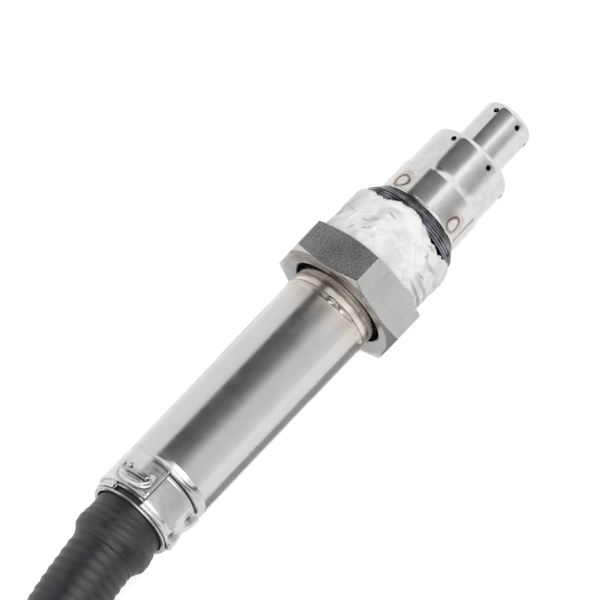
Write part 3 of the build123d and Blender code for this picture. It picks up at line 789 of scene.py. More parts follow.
@dataclass
class Studio:
    """Pale floor, surroundings and cards that the steel mirrors, and one soft lamp.

    The bands of the surroundings and the cards are turns round the probe with the brightness at each.
    """

    floor_size: float = 9000.0
    floor_colour: Colour = (0.72, 0.72, 0.72)
    floor_shown: float = 0.62
    floor_mirrored: float = 0.36
    lamp_place: Point = (-260.0, -420.0, 700.0)
    lamp_size: float = 500.0
    lamp_power: float = 3.0
    soft_light: Colour = (0.62, 0.62, 0.62)
    end_light: Colour = (1.1, 1.1, 1.1)
    surroundings: tuple[Pair, ...] = (
        (-180.0, 0.95), (-75.0, 0.93), (-35.0, 0.9), (-31.0, 0.11), (-6.0, 0.11), (16.0, 0.17),
        (28.0, 0.33), (44.0, 0.72), (60.0, 0.74), (76.0, 0.76), (90.0, 0.84), (180.0, 0.95),
    )
    front_light_turn: float = 25.0
    front_light_lean: float = 0.0045
    front_light_edge: Pair = (0.46, 0.58)
    rear_light_turn: float = 62.0
    rear_light_lean: float = 0.006
    rear_light_edge: Pair = (-0.02, 0.14)
    cap_bands: tuple[Pair, ...] = (
        (-24.0, 0.13), (-12.0, 0.2), (8.0, 0.29), (17.0, 0.42), (22.0, 0.62), (26.0, 1.15), (35.0, 1.15),
        (42.0, 0.88), (50.0, 0.7), (62.0, 0.56), (76.0, 0.5), (84.0, 0.66), (90.0, 0.84),
    )
    tip_bands: tuple[Pair, ...] = (
        (-24.0, 0.17), (-10.0, 0.25), (2.0, 0.34), (14.0, 0.52), (22.0, 0.8), (27.0, 1.15), (36.0, 1.15),
        (44.0, 0.88), (52.0, 0.74), (64.0, 0.58), (76.0, 0.54), (84.0, 0.7), (90.0, 0.84),
    )
    clamp_bands: tuple[Pair, ...] = (
        (-30.0, 0.95), (-24.0, 0.54), (-3.0, 0.47), (18.0, 0.58), (42.0, 0.6), (76.0, 0.56), (96.0, 0.66),
        (112.0, 0.7),
    )

    def build(self) -> None:
        """Builds the floor, the surroundings, the lamp, and the cards and strips."""
        bpy.context.scene.view_settings.view_transform = "Standard"
        self.make_floor()
        self.make_surroundings()
        self.make_lamp()
        for stand in (
            Card("cap_card", 17.0, 40.4, self.cap_bands),
            Card("tip_card", 40.4, 52.0, self.tip_bands),
            Card("flat_card", -1.0, 17.0, ((-62.0, 0.74), (-45.0, 0.68), (-27.0, 0.6))),
            Card("edge_card", 1.0, 12.0, ((-12.0, 0.2), (-4.0, 1.2), (62.0, 1.2), (72.0, 0.75))),
            Card("clamp_card", -58.6, -50.7, self.clamp_bands, 26.0),
            Card("lead_card", -112.0, -50.0, ((8.0, 0.3), (28.0, 2.3), (46.0, 2.3), (70.0, 0.8))),
            Card("side_card", -45.0, 70.0, ((78.0, 0.8), (90.0, 0.84), (96.2, 0.9)), 100.0),
            # painted shade: dark strips on the floor that the steel mirrors in place of the floor's shade
            # beside the tube, under the neck and beside the collar
            Strip("tube_strip", (-55.0, -16.2), (-12.5, -7.0), 0.36),
            Strip("rear_strip", (-27.0, -6.9), (-15.6, 26.0), 0.68),
            Strip("collar_strip", (8.5, -14.8), (15.0, -13.2), 0.3),
        ):
            stand.build()

    def make_floor(self) -> None:
        """Lays the pale floor: white to the camera, and dark only where the sensor shades it."""
        half = self.floor_size / 2
        floor = add_sheet("floor", (-half, -half), (half, half), 0.0)
        shader = Shader("floor_paper")
        shown = shader.times(shader.seen_by("Camera"), self.floor_shown)
        mirrored = shader.times(shader.seen_by("Glossy"), self.floor_mirrored)
        shader.shine(WHITE, shader.math("ADD", shown, mirrored))
        dress(floor, shader.finish(self.floor_colour, shader.cloud(40.0, 0.9, 1.0), Specular_IOR_Level=0.1))

    def make_surroundings(self) -> None:
        """Paints the world: white to the camera, and bands of light and dark along the probe to the steel."""
        world = bpy.data.worlds.new("studio")
        bpy.context.scene.world = world
        world.use_nodes = True
        bench = Bench(world.node_tree, "Generated", 1.0)
        turn = bench.turn()
        lean = bench.times(bench.away(turn, self.front_light_turn), self.front_light_lean)
        front = bench.span(bench.math("SUBTRACT", bench.x, lean), *self.front_light_edge)
        lean = bench.times(bench.away(turn, self.rear_light_turn), self.rear_light_lean)
        rear = bench.span(bench.math("SUBTRACT", bench.times(bench.x, -1.0), lean), *self.rear_light_edge)
        ends = bench.math("MAXIMUM", front, rear)
        around = bench.mix(ends, bench.ramp(turn, self.surroundings), self.end_light)
        mirrored = bench.mix(bench.seen_by("Glossy"), self.soft_light, around)
        shown = bench.mix(bench.seen_by("Camera"), mirrored, WHITE)
        bench.plug(world.node_tree.nodes["Background"].inputs["Color"], shown)

    def make_lamp(self) -> None:
        """Hangs one large soft lamp, which lights but isn't mirrored."""
        data = bpy.data.lights.new("soft_lamp", "AREA")
        data.size = self.lamp_size * MM
        data.energy = self.lamp_power
        lamp = place_object("soft_lamp", data)
        lamp.location = Vector(self.lamp_place) * MM
        lamp.rotation_mode = "QUATERNION"
        lamp.rotation_quaternion = lamp.location.to_track_quat("Z", "Y")
        lamp.visible_glossy = False


@dataclass
class PhotoCamera:
    """Camera far off behind a long lens, as the photograph was taken."""

    azimuth: float = -35.9
    elevation: float = 54.5
    roll: float = -15.87
    scale: float = 6.307
    picture_width: float = 600.0
    centre_right: float = -15.44
    centre_up: float = -9.66
    lens: float = 1000.0
    sensor: float = 36.0

    def build(self) -> None:
        """Places the camera so that a millimetre on the probe is as many pixels as in the photograph."""
        azimuth, elevation = math.radians(self.azimuth), math.radians(self.elevation)
        flat = math.cos(elevation)
        back = Vector((math.sin(azimuth) * flat, -math.cos(azimuth) * flat, math.sin(elevation)))
        level = (-back).to_track_quat("-Z", "Y")
        turned = level @ Quaternion((0.0, 0.0, 1.0), math.radians(self.roll))
        right, up = turned @ Vector((1, 0, 0)), turned @ Vector((0, 1, 0))
        width = self.picture_width / self.scale
        distance = width * self.lens / self.sensor
        data = bpy.data.cameras.new("camera")
        data.type = "PERSP"
        data.lens = self.lens
        data.sensor_width = self.sensor
        data.clip_start, data.clip_end = 0.01, 20.0
        camera = place_object("camera", data)
        camera.location = (right * self.centre_right + up * self.centre_up + back * distance) * MM
        camera.rotation_mode = "QUATERNION"
        camera.rotation_quaternion = turned
        bpy.context.scene.camera = camera


@dataclass
class Lead:
    """Ribbed lead: out of the boot, down to the surface, round a neat coil and on to the plug."""

    radius: float = 5.62
    approach: tuple[Point, ...] = (
        (-72.17, -0.49, -0.48), (-83.12, -1.25, -1.22), (-96.7, -3.6, -3.7), (-114.5, -6.7, -5.35),
    )
    coil_centre: Pair = (-132.6, -73.7)
    coil_radius: float = 62.0
    coil_points: int = 16
    coil_start: float = 101.0
    coil_end: float = 630.0
    rise_start: float = 330.0
    rise_end: float = 415.0
    lower_layer: float = -5.35
    upper_layer: float = 5.95
    tail: tuple[Point, ...] = (
        (-119.0, -135.5, 5.3), (-101.5, -133.9, 2.0), (-87.0, -132.0, -0.9), (-74.0, -131.2, -1.6),
        (-62.0, -131.2, -1.6),
    )
    rib_pitch: float = 1.74
    rib_depth: float = 0.25
    rings_a_rib: int = 4
    sides: int = 32
    lump_size: float = 7.0
    plug_nodes: tuple[str, ...] = (
        "plug_boot", "plug_housing", "plug_seal", "plug_terminals", "plug_retainer",
    )
    finish: Moulded = Moulded(
        "lead_cover", (0.02, 0.0205, 0.0245), 0.38, 0.35, 0.02, 2.2, shade=0.25, specular=0.6
    )

    def route(self) -> list[Vector]:
        """Lists the points that guide the lead.

        Returns:
            The points in millimetres: the way down, the coil's turns and the way to the plug.
        """
        step = 360.0 / self.coil_points
        guide_radius = self.coil_radius / math.cos(math.radians(step / 2))
        count = round((self.coil_end - self.coil_start) / step)
        turns = []
        for index in range(count + 1):
            angle = self.coil_start + (self.coil_end - self.coil_start) * index / count
            rise = smooth_step(angle, self.rise_start, self.rise_end)
            level = self.lower_layer + (self.upper_layer - self.lower_layer) * rise
            across = math.cos(math.radians(angle)) * guide_radius
            up = math.sin(math.radians(angle)) * guide_radius
            turns.append(Vector((self.coil_centre[0] + across, self.coil_centre[1] + up, level)))
        return [*map(Vector, self.approach), *turns, *map(Vector, self.tail)]

    def centreline(self) -> Array:
        """Reads the smooth line that the guide points give.

        Returns:
            Points along the line in millimetres, close together.
        """
        data = bpy.data.curves.new("lead_route", "CURVE")
        data.dimensions = "3D"
        spline = data.splines.new("NURBS")
        points = self.route()
        spline.points.add(len(points) - 1)
        for control, place in zip(spline.points, points):
            control.co = (*(place * MM), 1.0)
        spline.order_u = 3
        spline.use_endpoint_u = True
        data.resolution_u = 12
        holder = place_object("lead_route", data)
        mesh = bpy.data.meshes.new_from_object(holder)
        line = np.array([tuple(vertex.co) for vertex in mesh.vertices]) / MM
        bpy.data.objects.remove(holder)
        bpy.data.meshes.remove(mesh)
        return line

    def build(self) -> None:
        line = self.centreline()
        steps = np.linalg.norm(np.diff(line, axis=0), axis=1)
        travelled = np.concatenate([[0.0], np.cumsum(steps)])
        length = float(travelled[-1])
        count = round(length / self.rib_pitch) * self.rings_a_rib
        stations = np.linspace(0.0, length, count + 1)
        centres = np.stack([np.interp(stations, travelled, line[:, axis]) for axis in range(3)], axis=1)
        heading = np.gradient(centres, axis=0)
        heading /= np.linalg.norm(heading, axis=1)[:, None]
        rows = rings(stations, centres, heading, self.sides, self.radius, self.ribbed)
        piece = skin("ribbed_lead", rows)
        dress(piece, self.finish.make())
        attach(piece, Body.PROBE.value)
        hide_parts("lead_sleeve", "lead_coil", "lead_tail")
        log.info("%s: %.0f mm long", piece.name, length)

    def ribbed(self, station: float, place: Vector) -> float:
        """Works out how far the cover stands from the line.

        Args:
            station: Distance along the lead in millimetres.
            place: Place on the plain surface, for its lumps.

        Returns:
            The radius in millimetres.
        """
        lumps = grain(place, self.lump_size)
        rib = 0.5 + 0.5 * math.cos(2 * math.pi * station / self.rib_pitch + 0.7 * lumps)
        return self.radius + self.rib_depth * (rib * (0.75 + 0.35 * lumps) - 0.5) + 0.06 * lumps


@dataclass
class RearBoot:
    """Soft rubber boot: neck under the clamp, a bulge, and a crease where the lead goes in."""

    knee: float = -65.0
    knee_reach: float = 1.2
    droop: float = 5.5
    droop_side: float = 44.4
    neck_radius: float = 6.3
    bulge_radius: float = 6.68
    bulge_start: float = 1.1
    bulge_at: float = 4.4
    reach: float = 7.2
    end_reach: float = 0.6
    end_radius: float = 5.55
    collar_front: float = -56.0
    ripple: float = 0.05
    ripple_pitch: float = 1.3
    lumps: float = 0.12
    sides: int = 96
    stations: int = 90
    finish: Moulded = Moulded(
        "boot_rubber", (0.02, 0.0205, 0.025), 0.38, 0.5, 0.015, 2.6, shade=0.25, specular=0.6
    )

    def build(self) -> None:
        """Builds the boot as one lumpy skin along its bent line."""
        droop = math.radians(self.droop)
        across = on_probe(0.0, 90.0 + self.droop_side, 1.0)
        back = Vector((-1.0, 0.0, 0.0))
        bent = back * math.cos(droop) + across * math.sin(droop)
        stations = np.linspace(self.knee - self.collar_front, self.reach + self.end_reach, self.stations)
        knee = Vector((self.knee, 0.0, 0.0))
        centres, headings = [], []
        for along in stations:
            bend = float(smooth_step(along, -self.knee_reach, self.knee_reach))
            centres.append((knee + back * along).lerp(knee + bent * along, bend))
            headings.append(back.lerp(bent, bend).normalized())
        rows = rings(stations, centres, headings, self.sides, self.neck_radius, self.swell)
        piece = skin("soft_boot", rows)
        dress(piece, self.finish.make())
        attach(piece, Body.PROBE.value)
        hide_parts("rubber_boot")

    def swell(self, along: float, place: Vector) -> float:
        """Works out the boot's radius.

        Args:
            along: Distance beyond the knee in millimetres.
            place: Place on the plain surface, for its lumps.

        Returns:
            The radius in millimetres.
        """
        rise = float(smooth_step(along, self.bulge_start, self.bulge_at))
        fall = float(smooth_step(along, self.bulge_at, self.reach + 0.3))
        radius = self.neck_radius + (self.bulge_radius - self.neck_radius) * rise
        radius -= (self.bulge_radius - self.end_radius) * fall**1.5
        free = float(smooth_step(along, 0.6, 2.0))
        ripple = self.ripple * math.sin(2 * math.pi * along / self.ripple_pitch + 2.0 * grain(place, 6.0))
        return radius + free * (ripple + self.lumps * grain(place, 4.0))


@dataclass
class PasteCoat:
    """White paste over the nut's thread: crumpled, ragged in front over the flange, and thin by the hexagon.

    front_places are turns with the place where the paste ends there, and strokes are creases, from place and
    turn to place and turn.
    """

    rear: float = -8.32
    columns: int = 440
    stations: int = 100
    radius: float = 9.78
    front_places: tuple[Pair, ...] = (
        (-150.0, 1.3), (-105.0, 0.7), (-82.0, 1.9), (-60.0, 2.4), (-30.0, 1.3), (-10.0, 0.7), (4.0, 1.6),
        (14.0, 2.1), (30.0, 1.9), (41.0, 1.5), (56.0, 0.5), (71.0, 0.35), (83.0, 0.6), (95.0, 1.6),
        (120.0, 1.0), (150.0, 1.8), (180.0, 0.9), (210.0, 1.3),
    )
    torn: float = 0.34
    torn_size: float = 1.1
    strokes: tuple[tuple[float, float, float, float], ...] = (
        (-7.4, -16.5, -5.4, -11.0), (-6.2, -6.0, -4.2, 5.0), (-4.1, -14.0, -4.0, 3.5),
        (-1.2, 2.0, -1.0, 18.5), (-4.3, 21.0, -4.1, 49.0), (-0.6, 55.0, 0.1, 67.0),
        (-2.2, 60.0, -1.6, 66.0), (-4.3, 66.0, -4.6, 82.0), (-3.0, -44.0, -3.6, -22.0),
        (-5.0, 130.0, -4.2, 152.0), (-2.0, 170.0, -2.6, 192.0), (-6.0, 203.0, -5.0, 222.0),
        (-3.4, -122.0, -2.6, -98.0), (-5.6, -86.0, -4.8, -64.0),
    )
    stroke_radius: float = 9.8
    fold_size: Point = (2.6, 4.0, 4.0)
    fold_bend: float = 0.6
    bend_size: float = 3.2
    ripple_scale: float = 2.1
    fine_scale: float = 5.5
    lump_size: float = 4.5
    lump_height: float = 0.1
    crest_height: float = 0.2
    ripple_height: float = 0.09
    fine_height: float = 0.025
    fold_sink: float = 0.06
    groove: Ridge = Ridge(-0.2, 0.0, 0.2)
    bank: Ridge = Ridge(0.08, 0.5, 0.25)
    # painted shade along each crease
    groove_grey: Ridge = Ridge(0.9, 0.0, 0.2)
    thread_pitch: float = 1.5
    thread_height: float = 0.17
    thread_drop: float = 0.14
    thread_grey: float = 0.75
    flange_from: float = 0.75
    flange_clear: float = 9.06
    core: float = 8.9
    thinnest: float = 0.07
    front_smooth: float = 0.6
    front_drop: float = 0.55
    edge_length: float = 0.5
    edge_drop: float = 0.34
    finish: Paste = Paste("dried_paste", (0.9, 0.9, 0.905), 0.55, 0.25, 0.012, 2.0, shade=0.03)

    def front(self, turns: Array) -> Array:
        """Finds where the paste ends in front.

        Args:
            turns: Angles round the probe in degrees, from -150 to 210.

        Returns:
            Places along the probe in millimetres.
        """
        known = np.array(self.front_places)
        places = (Vector((math.cos(a) * 9.0, math.sin(a) * 9.0, 3.0)) for a in np.radians(turns))
        torn = [grain(place, self.torn_size, 4) for place in places]
        return np.interp(turns, known[:, 0], known[:, 1]) + self.torn * np.array(torn)

    def build(self) -> None:
        """Builds the coat as one closed shell."""
        turns = np.linspace(-150.0, 210.0, self.columns, endpoint=False)
        front = self.front(turns)[None, :]
        places = self.rear + (front - self.rear) * np.linspace(0.0, 1.0, self.stations)[:, None]
        angles = np.broadcast_to(turns, places.shape)
        height, crease = self.folds(round_the_probe(places, angles, self.radius))
        threads, show = self.threads(places, angles)
        thin = smooth_step(places, 0.9, 2.6)
        radii = self.radius + height * (1.0 - self.front_smooth * thin) - self.front_drop * thin
        radii += threads - 0.1 * smooth_step(places, -1.2, 0.9) - 0.12 * smooth_step(places, -6.9, -8.3)
        radii -= self.edge_drop * (1.0 - smooth_step((front - places) / self.edge_length, 0.0, 1.0))
        inner = np.where(places > self.flange_from, self.flange_clear, self.core)
        radii = np.maximum(radii, inner + self.thinnest)
        outside, inside = (round_the_probe(places, angles, reach) for reach in (radii, inner))
        piece = shell("crumpled_paste", outside, inside, wrap=True)
        # stores the painted shade of folds and creases, and the grey of the thread
        store(piece, "crease", np.maximum(crease, show))
        dress(piece, self.finish.make())
        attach(piece, Body.NUT.value)
        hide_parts("thread_paste")

    def folds(self, points: Array) -> tuple[Array, Array]:
        """Crumples the paste.

        Args:
            points: The coat's smooth points.

        Returns:
            How far each stands out in millimetres, and how much painted shade lies in its folds and creases,
            from 0 to 1.
        """
        heights, greys = [], []
        for point in points.reshape(-1, 3):
            place = Vector(point)
            along = Vector([part / size for part, size in zip(place, self.fold_size)])
            bent = along + self.fold_bend * noise.noise_vector(place / self.bend_size)
            wide = noise.noise(bent)
            narrow = noise.noise(bent * self.ripple_scale + Vector((5.0, 1.0, 3.0)))
            fine = noise.noise(bent * self.fine_scale)
            lumps = noise.noise(place / self.lump_size)
            crest = (1.0 - min(1.0, abs(wide) * 2.2)) ** 2
            ripple = (1.0 - min(1.0, abs(narrow) * 2.4)) ** 2
            ridges = self.crest_height * crest + self.ripple_height * ripple + self.fine_height * fine
            heights.append(self.lump_height * lumps + ridges - self.fold_sink)
            # painted shade on the sides of the folds
            shaded = max(0.0, wide - 0.2) * 0.9 + 0.7 * max(0.0, narrow - 0.13)
            greys.append(shaded * (0.6 + 1.1 * lumps))
        height, grey = (np.array(values).reshape(points.shape[:-1]) for values in (heights, greys))
        for start_x, start_turn, end_x, end_turn in self.strokes:
            start = on_probe(start_x, start_turn, self.stroke_radius)
            end = on_probe(end_x, end_turn, self.stroke_radius)
            away, share = self.from_stroke(points, start, end)
            taper = np.clip(1.3 - 2.6 * np.abs(share - 0.5), 0.0, 1.0)
            height += taper * (self.groove.at(away) + self.bank.at(away))
            # painted shade along each crease
            grey = np.maximum(grey, taper * self.groove_grey.at(away))
        return height, grey

    @staticmethod
    def from_stroke(points: Array, start: Vector, end: Vector) -> tuple[Array, Array]:
        """Measures how far each point is from a crease, which wanders a little.

        Args:
            points: The points, as rows by columns by three.
            start: One end of the crease.
            end: Its other end.

        Returns:
            Distances in millimetres, and how far along the crease the nearest place is, from 0 to 1.
        """
        run = np.array(end - start)
        share = np.clip((points - np.array(start)) @ run / (run @ run), 0.0, 1.0)
        nearest = np.array(start) + share[..., None] * run
        nearest[..., 0] += 0.2 * np.sin(share * 8.0 + start.x) + 0.07 * np.sin(share * 21.0)
        return np.linalg.norm(points - nearest, axis=-1), share

    def threads(self, places: Array, turns: Array) -> tuple[Array, Array]:
        """Lets the thread show where the coat is thin, low down by the hexagon and here and there behind.

        Args:
            places: Places along the probe.
            turns: Angles round the probe.

        Returns:
            How far the thread's turns stand out, and how grey their valleys are: steel showing through, and
            painted shade.
        """
        wave = np.cos(2 * np.pi * (places / self.thread_pitch - turns / 360.0))
        low = smooth_step(np.abs(turns - 108.0), 46.0, 26.0)
        back = 0.8 * smooth_step(np.abs(turns + 105.0), 40.0, 20.0)
        share = smooth_step(places, -3.6, -5.6) * np.maximum(low, back)
        # grey in the thread's valleys: steel showing through, and painted shade
        grey = share * smooth_step(-wave, -0.2, 0.9) * self.thread_grey
        return share * (self.thread_height * wave - self.thread_drop), grey


@dataclass
class NeckWeld:
    """Weld between the neck and the tube: a low bead with a few blobs on it.

    Each blob has a place, a turn, a size, how much longer it is round the probe than along it, and a height.
    """

    rear: float = -18.75
    front: float = -17.45
    radius: float = 7.7
    root_radius: float = 7.3
    bead: float = 0.13
    columns: int = 420
    stations: int = 26
    blobs: tuple[tuple[float, float, float, float, float], ...] = (
        (-17.85, 24.0, 0.6, 1.1, 0.2), (-17.75, 46.0, 0.5, 2.6, 0.24), (-18.0, 95.0, 0.5, 1.2, 0.26),
        (-18.1, 160.0, 0.42, 2.0, 0.2), (-18.0, 232.0, 0.42, 1.6, 0.22),
    )
    # painted shade in a ring round the foot of each blob
    blob_moat: Ridge = Ridge(0.55, 1.25, 0.22)
    finish: WorkedSteel = WorkedSteel(
        "weld_bead", (0.66, 0.61, 0.55), 0.26, 0.3, 0.006, mottle=0.05, shade=0.08
    )

    def build(self) -> None:
        """Builds the bead as one closed ring."""
        turns = np.linspace(-60.0, 300.0, self.columns, endpoint=False)
        places, angles = np.meshgrid(np.linspace(self.rear, self.front, self.stations), turns, indexing="ij")
        across = (places - self.rear) / (self.front - self.rear) * 2.0 - 1.0
        wander = sampled(round_the_probe(places, angles, self.radius), 2.5)
        profile = np.sqrt(np.clip(1.0 - across**2, 0.0, 1.0))
        radii = self.radius - 0.03 + profile * (self.bead + 0.05 * wander)
        # painted shade: darker along the bead's edges and where it dips
        hollow = np.clip(1.0 - profile * 2.2, 0.0, 1.0) * 0.6 + 0.25 * np.clip(-wander, 0.0, 1.0)
        for x, turn, size, longer, height in self.blobs:
            arc = np.radians(angles - turn) * self.radius
            away = np.hypot((places - x - 0.12 * np.sin(arc * 2.2)) / size, arc / size / longer)
            radii += height * np.exp(-(away**4) * 0.9) * (0.8 + 0.5 * wander)
            hollow = np.maximum(hollow, self.blob_moat.at(away))
            hollow *= 1.0 - 0.9 * np.exp(-(away**4))
        outside, inside = (round_the_probe(places, angles, reach) for reach in (radii, self.root_radius))
        piece = shell("weld_seam", outside, inside, wrap=True)
        # stores the painted shade of the bead's edges, dips and blob feet
        store(piece, "hollow", hollow)
        dress(piece, self.finish.make())
        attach(piece, Body.PROBE.value)
        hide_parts("neck_weld")


@dataclass
class SpotWelds:
    """Four spot welds that hold the protector's collar: each a pale dimple in a raised dark ring."""

    x: float = 6.0
    turns: tuple[float, ...] = (-21.0, 69.0, 159.0, -111.0)
    radius: float = 7.6
    root: float = 0.12
    reach: float = 1.78
    ring: Ridge = Ridge(0.09, 1.22, 0.2)
    # dark ring: the weld's own oxide, with painted shade at its edge
    ring_grey: Ridge = Ridge(1.1, 1.22, 0.27)
    dimple: Ridge = Ridge(0.03, 0.0, 0.5)
    rise: float = 0.012
    sink: float = 0.004
    rows: int = 26
    columns: int = 60
    finish: WorkedSteel = WorkedSteel(
        "spot_weld", (0.72, 0.69, 0.66), 0.2, 0.25, 0.004, mottle=0.05, shade=0.06
    )

    def build(self) -> None:
        """Builds the welds one by one."""
        material = self.finish.make()
        for number, turn in enumerate(self.turns, 1):
            dress(self.build_one(f"spot_weld_{number}", turn), material)

    def build_one(self, name: str, turn: float) -> Piece:
        """Builds one weld as a low button that follows the collar.

        Args:
            name: Name of the piece.
            turn: Angle round the probe.

        Returns:
            The weld.
        """
        out = np.linspace(0.02, 1.0, self.rows) * self.reach
        spokes = np.linspace(0.0, 2 * np.pi, self.columns, endpoint=False)
        away, spoke = np.meshgrid(out, spokes, indexing="ij")
        uneven = 1.0 + 0.07 * np.cos(2 * spoke + turn) + 0.05 * np.cos(3 * spoke + 2.0 * turn)
        places = self.x + away * np.cos(spoke) * uneven
        angles = turn + np.degrees(away * np.sin(spoke) * uneven * 0.94 / self.radius)
        lift = self.ring.at(away) + self.dimple.at(away) + self.rise
        lift *= smooth_step(away, self.reach, self.reach - 0.2)
        outside = round_the_probe(places, angles, self.radius + lift - self.sink)
        piece = shell(name, outside, round_the_probe(places, angles, self.radius - self.root), wrap=True)
        # stores the dark ring, partly weld oxide and partly painted shade, a little darker on one side
        store(piece, "hollow", self.ring_grey.at(away) * (0.8 + 0.2 * np.cos(spoke + 1.0)))
        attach(piece, Body.PROBE.value)
        return piece


@dataclass
class EarClamp:
    """Pressed ear clamp: a band, its overlapping end with a hook in a raised C, and a pinched ear."""

    thickness: float = 0.42
    band_radius: float = 6.98
    band_rear: float = -64.7
    band_front: float = -57.8
    band_start: float = 26.0
    band_end: float = 339.0
    band_step: float = 0.115
    overlap_rear: float = -63.45
    overlap_front: float = -57.0
    overlap_start: float = -75.0
    overlap_end: float = 26.0
    overlap_step: float = 0.075
    edge: float = 0.16
    band_rear_bead: Ridge = Ridge(0.09, 0.3, 0.22)
    band_rear_groove: Ridge = Ridge(-0.05, 0.85, 0.3)
    band_front_bead: Ridge = Ridge(0.07, 0.26, 0.2)
    ear_turn: float = 105.0
    ear_reach: float = 13.0
    ear_height: float = 0.68
    ear_waist: Ridge = Ridge(-0.72, -61.3, 1.25)
    ear_hollows: tuple[Spot, ...] = (Spot(-63.3, 91.0, 0.6, 4.5), Spot(-59.3, 93.0, 0.6, 4.5))
    ear_hollow_depth: float = 0.32
    ear_brows: tuple[Spot, ...] = (Spot(-63.0, 83.0, 0.9, 3.0), Spot(-59.0, 86.0, 0.9, 3.0))
    ear_brow_height: float = 0.16
    overlap_rear_bead: Ridge = Ridge(0.08, 0.28, 0.2)
    overlap_rear_groove: Ridge = Ridge(-0.06, 0.75, 0.22)
    overlap_end_bead: Ridge = Ridge(0.05, 0.35, 0.3)
    hook_x: float = -60.6
    hook_turn: float = -5.5
    hook_across: float = 1.6
    hook_along: float = 2.63
    hook_rim: Ridge = Ridge(0.42, 0.38, 0.28)
    hook_moat: Ridge = Ridge(-0.08, 1.0, 0.25)
    # painted shade in a soft ring round the rim of the C
    hook_rim_shade: Ridge = Ridge(0.4, 1.0, 0.28)
    # the slit, its edge, its curl and its end sink and carry painted shade
    slit: Ridge = Ridge(1.0, 0.0, 0.13)
    slit_edge: Ridge = Ridge(0.7, -0.5, 0.08)
    tongue: Ridge = Ridge(0.12, 0.55, 0.3)
    slit_x: float = -0.55
    slit_depth: float = 0.36
    slit_curl: Spot = Spot(0.35, -1.55, 0.26, 0.34)
    slit_end: Spot = Spot(-0.1, 2.45, 0.26, 0.26)
    lobe: Spot = Spot(0.75, -2.1, 0.5, 0.55)
    lobe_height: float = 0.3
    # near-black painted shade in the hollows
    finish: WorkedSteel = WorkedSteel(
        "pressed_strip", (0.72, 0.71, 0.7), 0.2, 0.4, 0.002, 2.4, 0.03, 0.04, hollow=(0.04, 0.038, 0.036)
    )

    def build(self) -> None:
        """Builds the band and the overlapping end."""
        material = self.finish.make()
        for piece in (self.make_band(), self.make_overlap()):
            dress(piece, material)
            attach(piece, Body.PROBE.value)
            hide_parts("ear_clamp")

    def net(self, low: Pair, high: Pair, step: float, radius: float) -> tuple[Array, Array]:
        """Lays an even net over a stretch of the probe.

        Args:
            low: Lowest place and angle.
            high: Highest place and angle.
            step: Distance between points in millimetres.
            radius: Distance from the axis.

        Returns:
            Places along the probe and angles, in rows by columns.
        """
        rows = round((high[0] - low[0]) / step) + 1
        columns = round(math.radians(high[1] - low[1]) * radius / step) + 1
        places, turns = np.linspace(low[0], high[0], rows), np.linspace(low[1], high[1], columns)
        return np.meshgrid(places, turns, indexing="ij")

    def pressed(
        self, name: str, places: Array, turns: Array, outer: float, lift: Array, inner: Array
    ) -> Piece:
        """Closes a pressed sheet, whose outer face is rounded off at its edges.

        Args:
            name: Name of the piece.
            places: Places along the probe.
            turns: Angles round it.
            outer: Plain radius of the outer face.
            lift: How far the outer face stands above that.
            inner: Radii of the inner face.

        Returns:
            The sheet.
        """
        arc = np.radians(turns) * outer
        sides = [places - places.min(), places.max() - places, arc - arc.min(), arc.max() - arc]
        edge = np.minimum.reduce(sides)
        beyond = np.clip(self.edge - edge, 0.0, self.edge)
        drop = self.edge - np.sqrt(np.clip(self.edge**2 - beyond**2, 0.0, None))
        radii = np.maximum(outer + lift - drop, inner + 0.03)
        outside, inside = (round_the_probe(places, turns, reach) for reach in (radii, inner))
        return shell(name, outside, inside, wrap=False)

    def make_band(self) -> Piece:
        """Builds the band with its pinched ear.

        Returns:
            The band.
        """
        outer = self.band_radius + self.thickness
        low, high = (self.band_rear, self.band_start), (self.band_front, self.band_end)
        places, turns = self.net(low, high, self.band_step, outer)
        dents = sampled(round_the_probe(places, turns, outer), 2.6, 2)
        rear, front = places - self.band_rear, self.band_front - places
        lift = 0.03 * dents * smooth_step(np.minimum(rear, front), 0.1, 0.9)
        lift += self.band_rear_bead.at(rear) + self.band_rear_groove.at(rear) + self.band_front_bead.at(front)
        fold = np.exp(-((((turns - self.ear_turn) / self.ear_reach) / 0.62) ** 4)) * self.ear_height
        fold *= 1.0 + self.ear_waist.at(places)
        hollows, brows = (
            sum(spot.at(places, turns) for spot in spots) for spots in (self.ear_hollows, self.ear_brows)
        )
        lift += fold - self.ear_hollow_depth * hollows + self.ear_brow_height * brows
        piece = self.pressed("clamp_band", places, turns, outer, lift, self.band_radius + 0.4 * fold)
        # painted shade in the ear's pinched hollows
        store(piece, "hollow", 0.9 * hollows)
        return piece

    def make_overlap(self) -> Piece:
        """Builds the overlapping end with its raised C, slit and tongue.

        Returns:
            The overlapping end.
        """
        outer = self.band_radius + 2 * self.thickness
        low, high = (self.overlap_rear, self.overlap_start), (self.overlap_front, self.overlap_end)
        places, turns = self.net(low, high, self.overlap_step, outer)
        rear, front = places - self.overlap_rear, self.overlap_front - places
        below = np.radians(self.overlap_end - turns) * outer
        lift = 0.04 * sampled(round_the_probe(places, turns, outer), 2.2, 2)
        lift += self.overlap_rear_bead.at(rear) + self.overlap_rear_groove.at(rear)
        lift += self.overlap_end_bead.at(below) - 0.06 * smooth_step(front, 0.9, 0.0)
        raised, dark = self.hook(places, np.radians(turns) * outer, outer)
        inner = self.band_radius + self.thickness + 0.01 + 0.2 * smooth_step(front, 1.0, 0.3)
        piece = self.pressed("clamp_overlap", places, turns, outer, lift + raised, inner)
        # painted shade in the slit and round the C
        store(piece, "hollow", dark)
        return piece

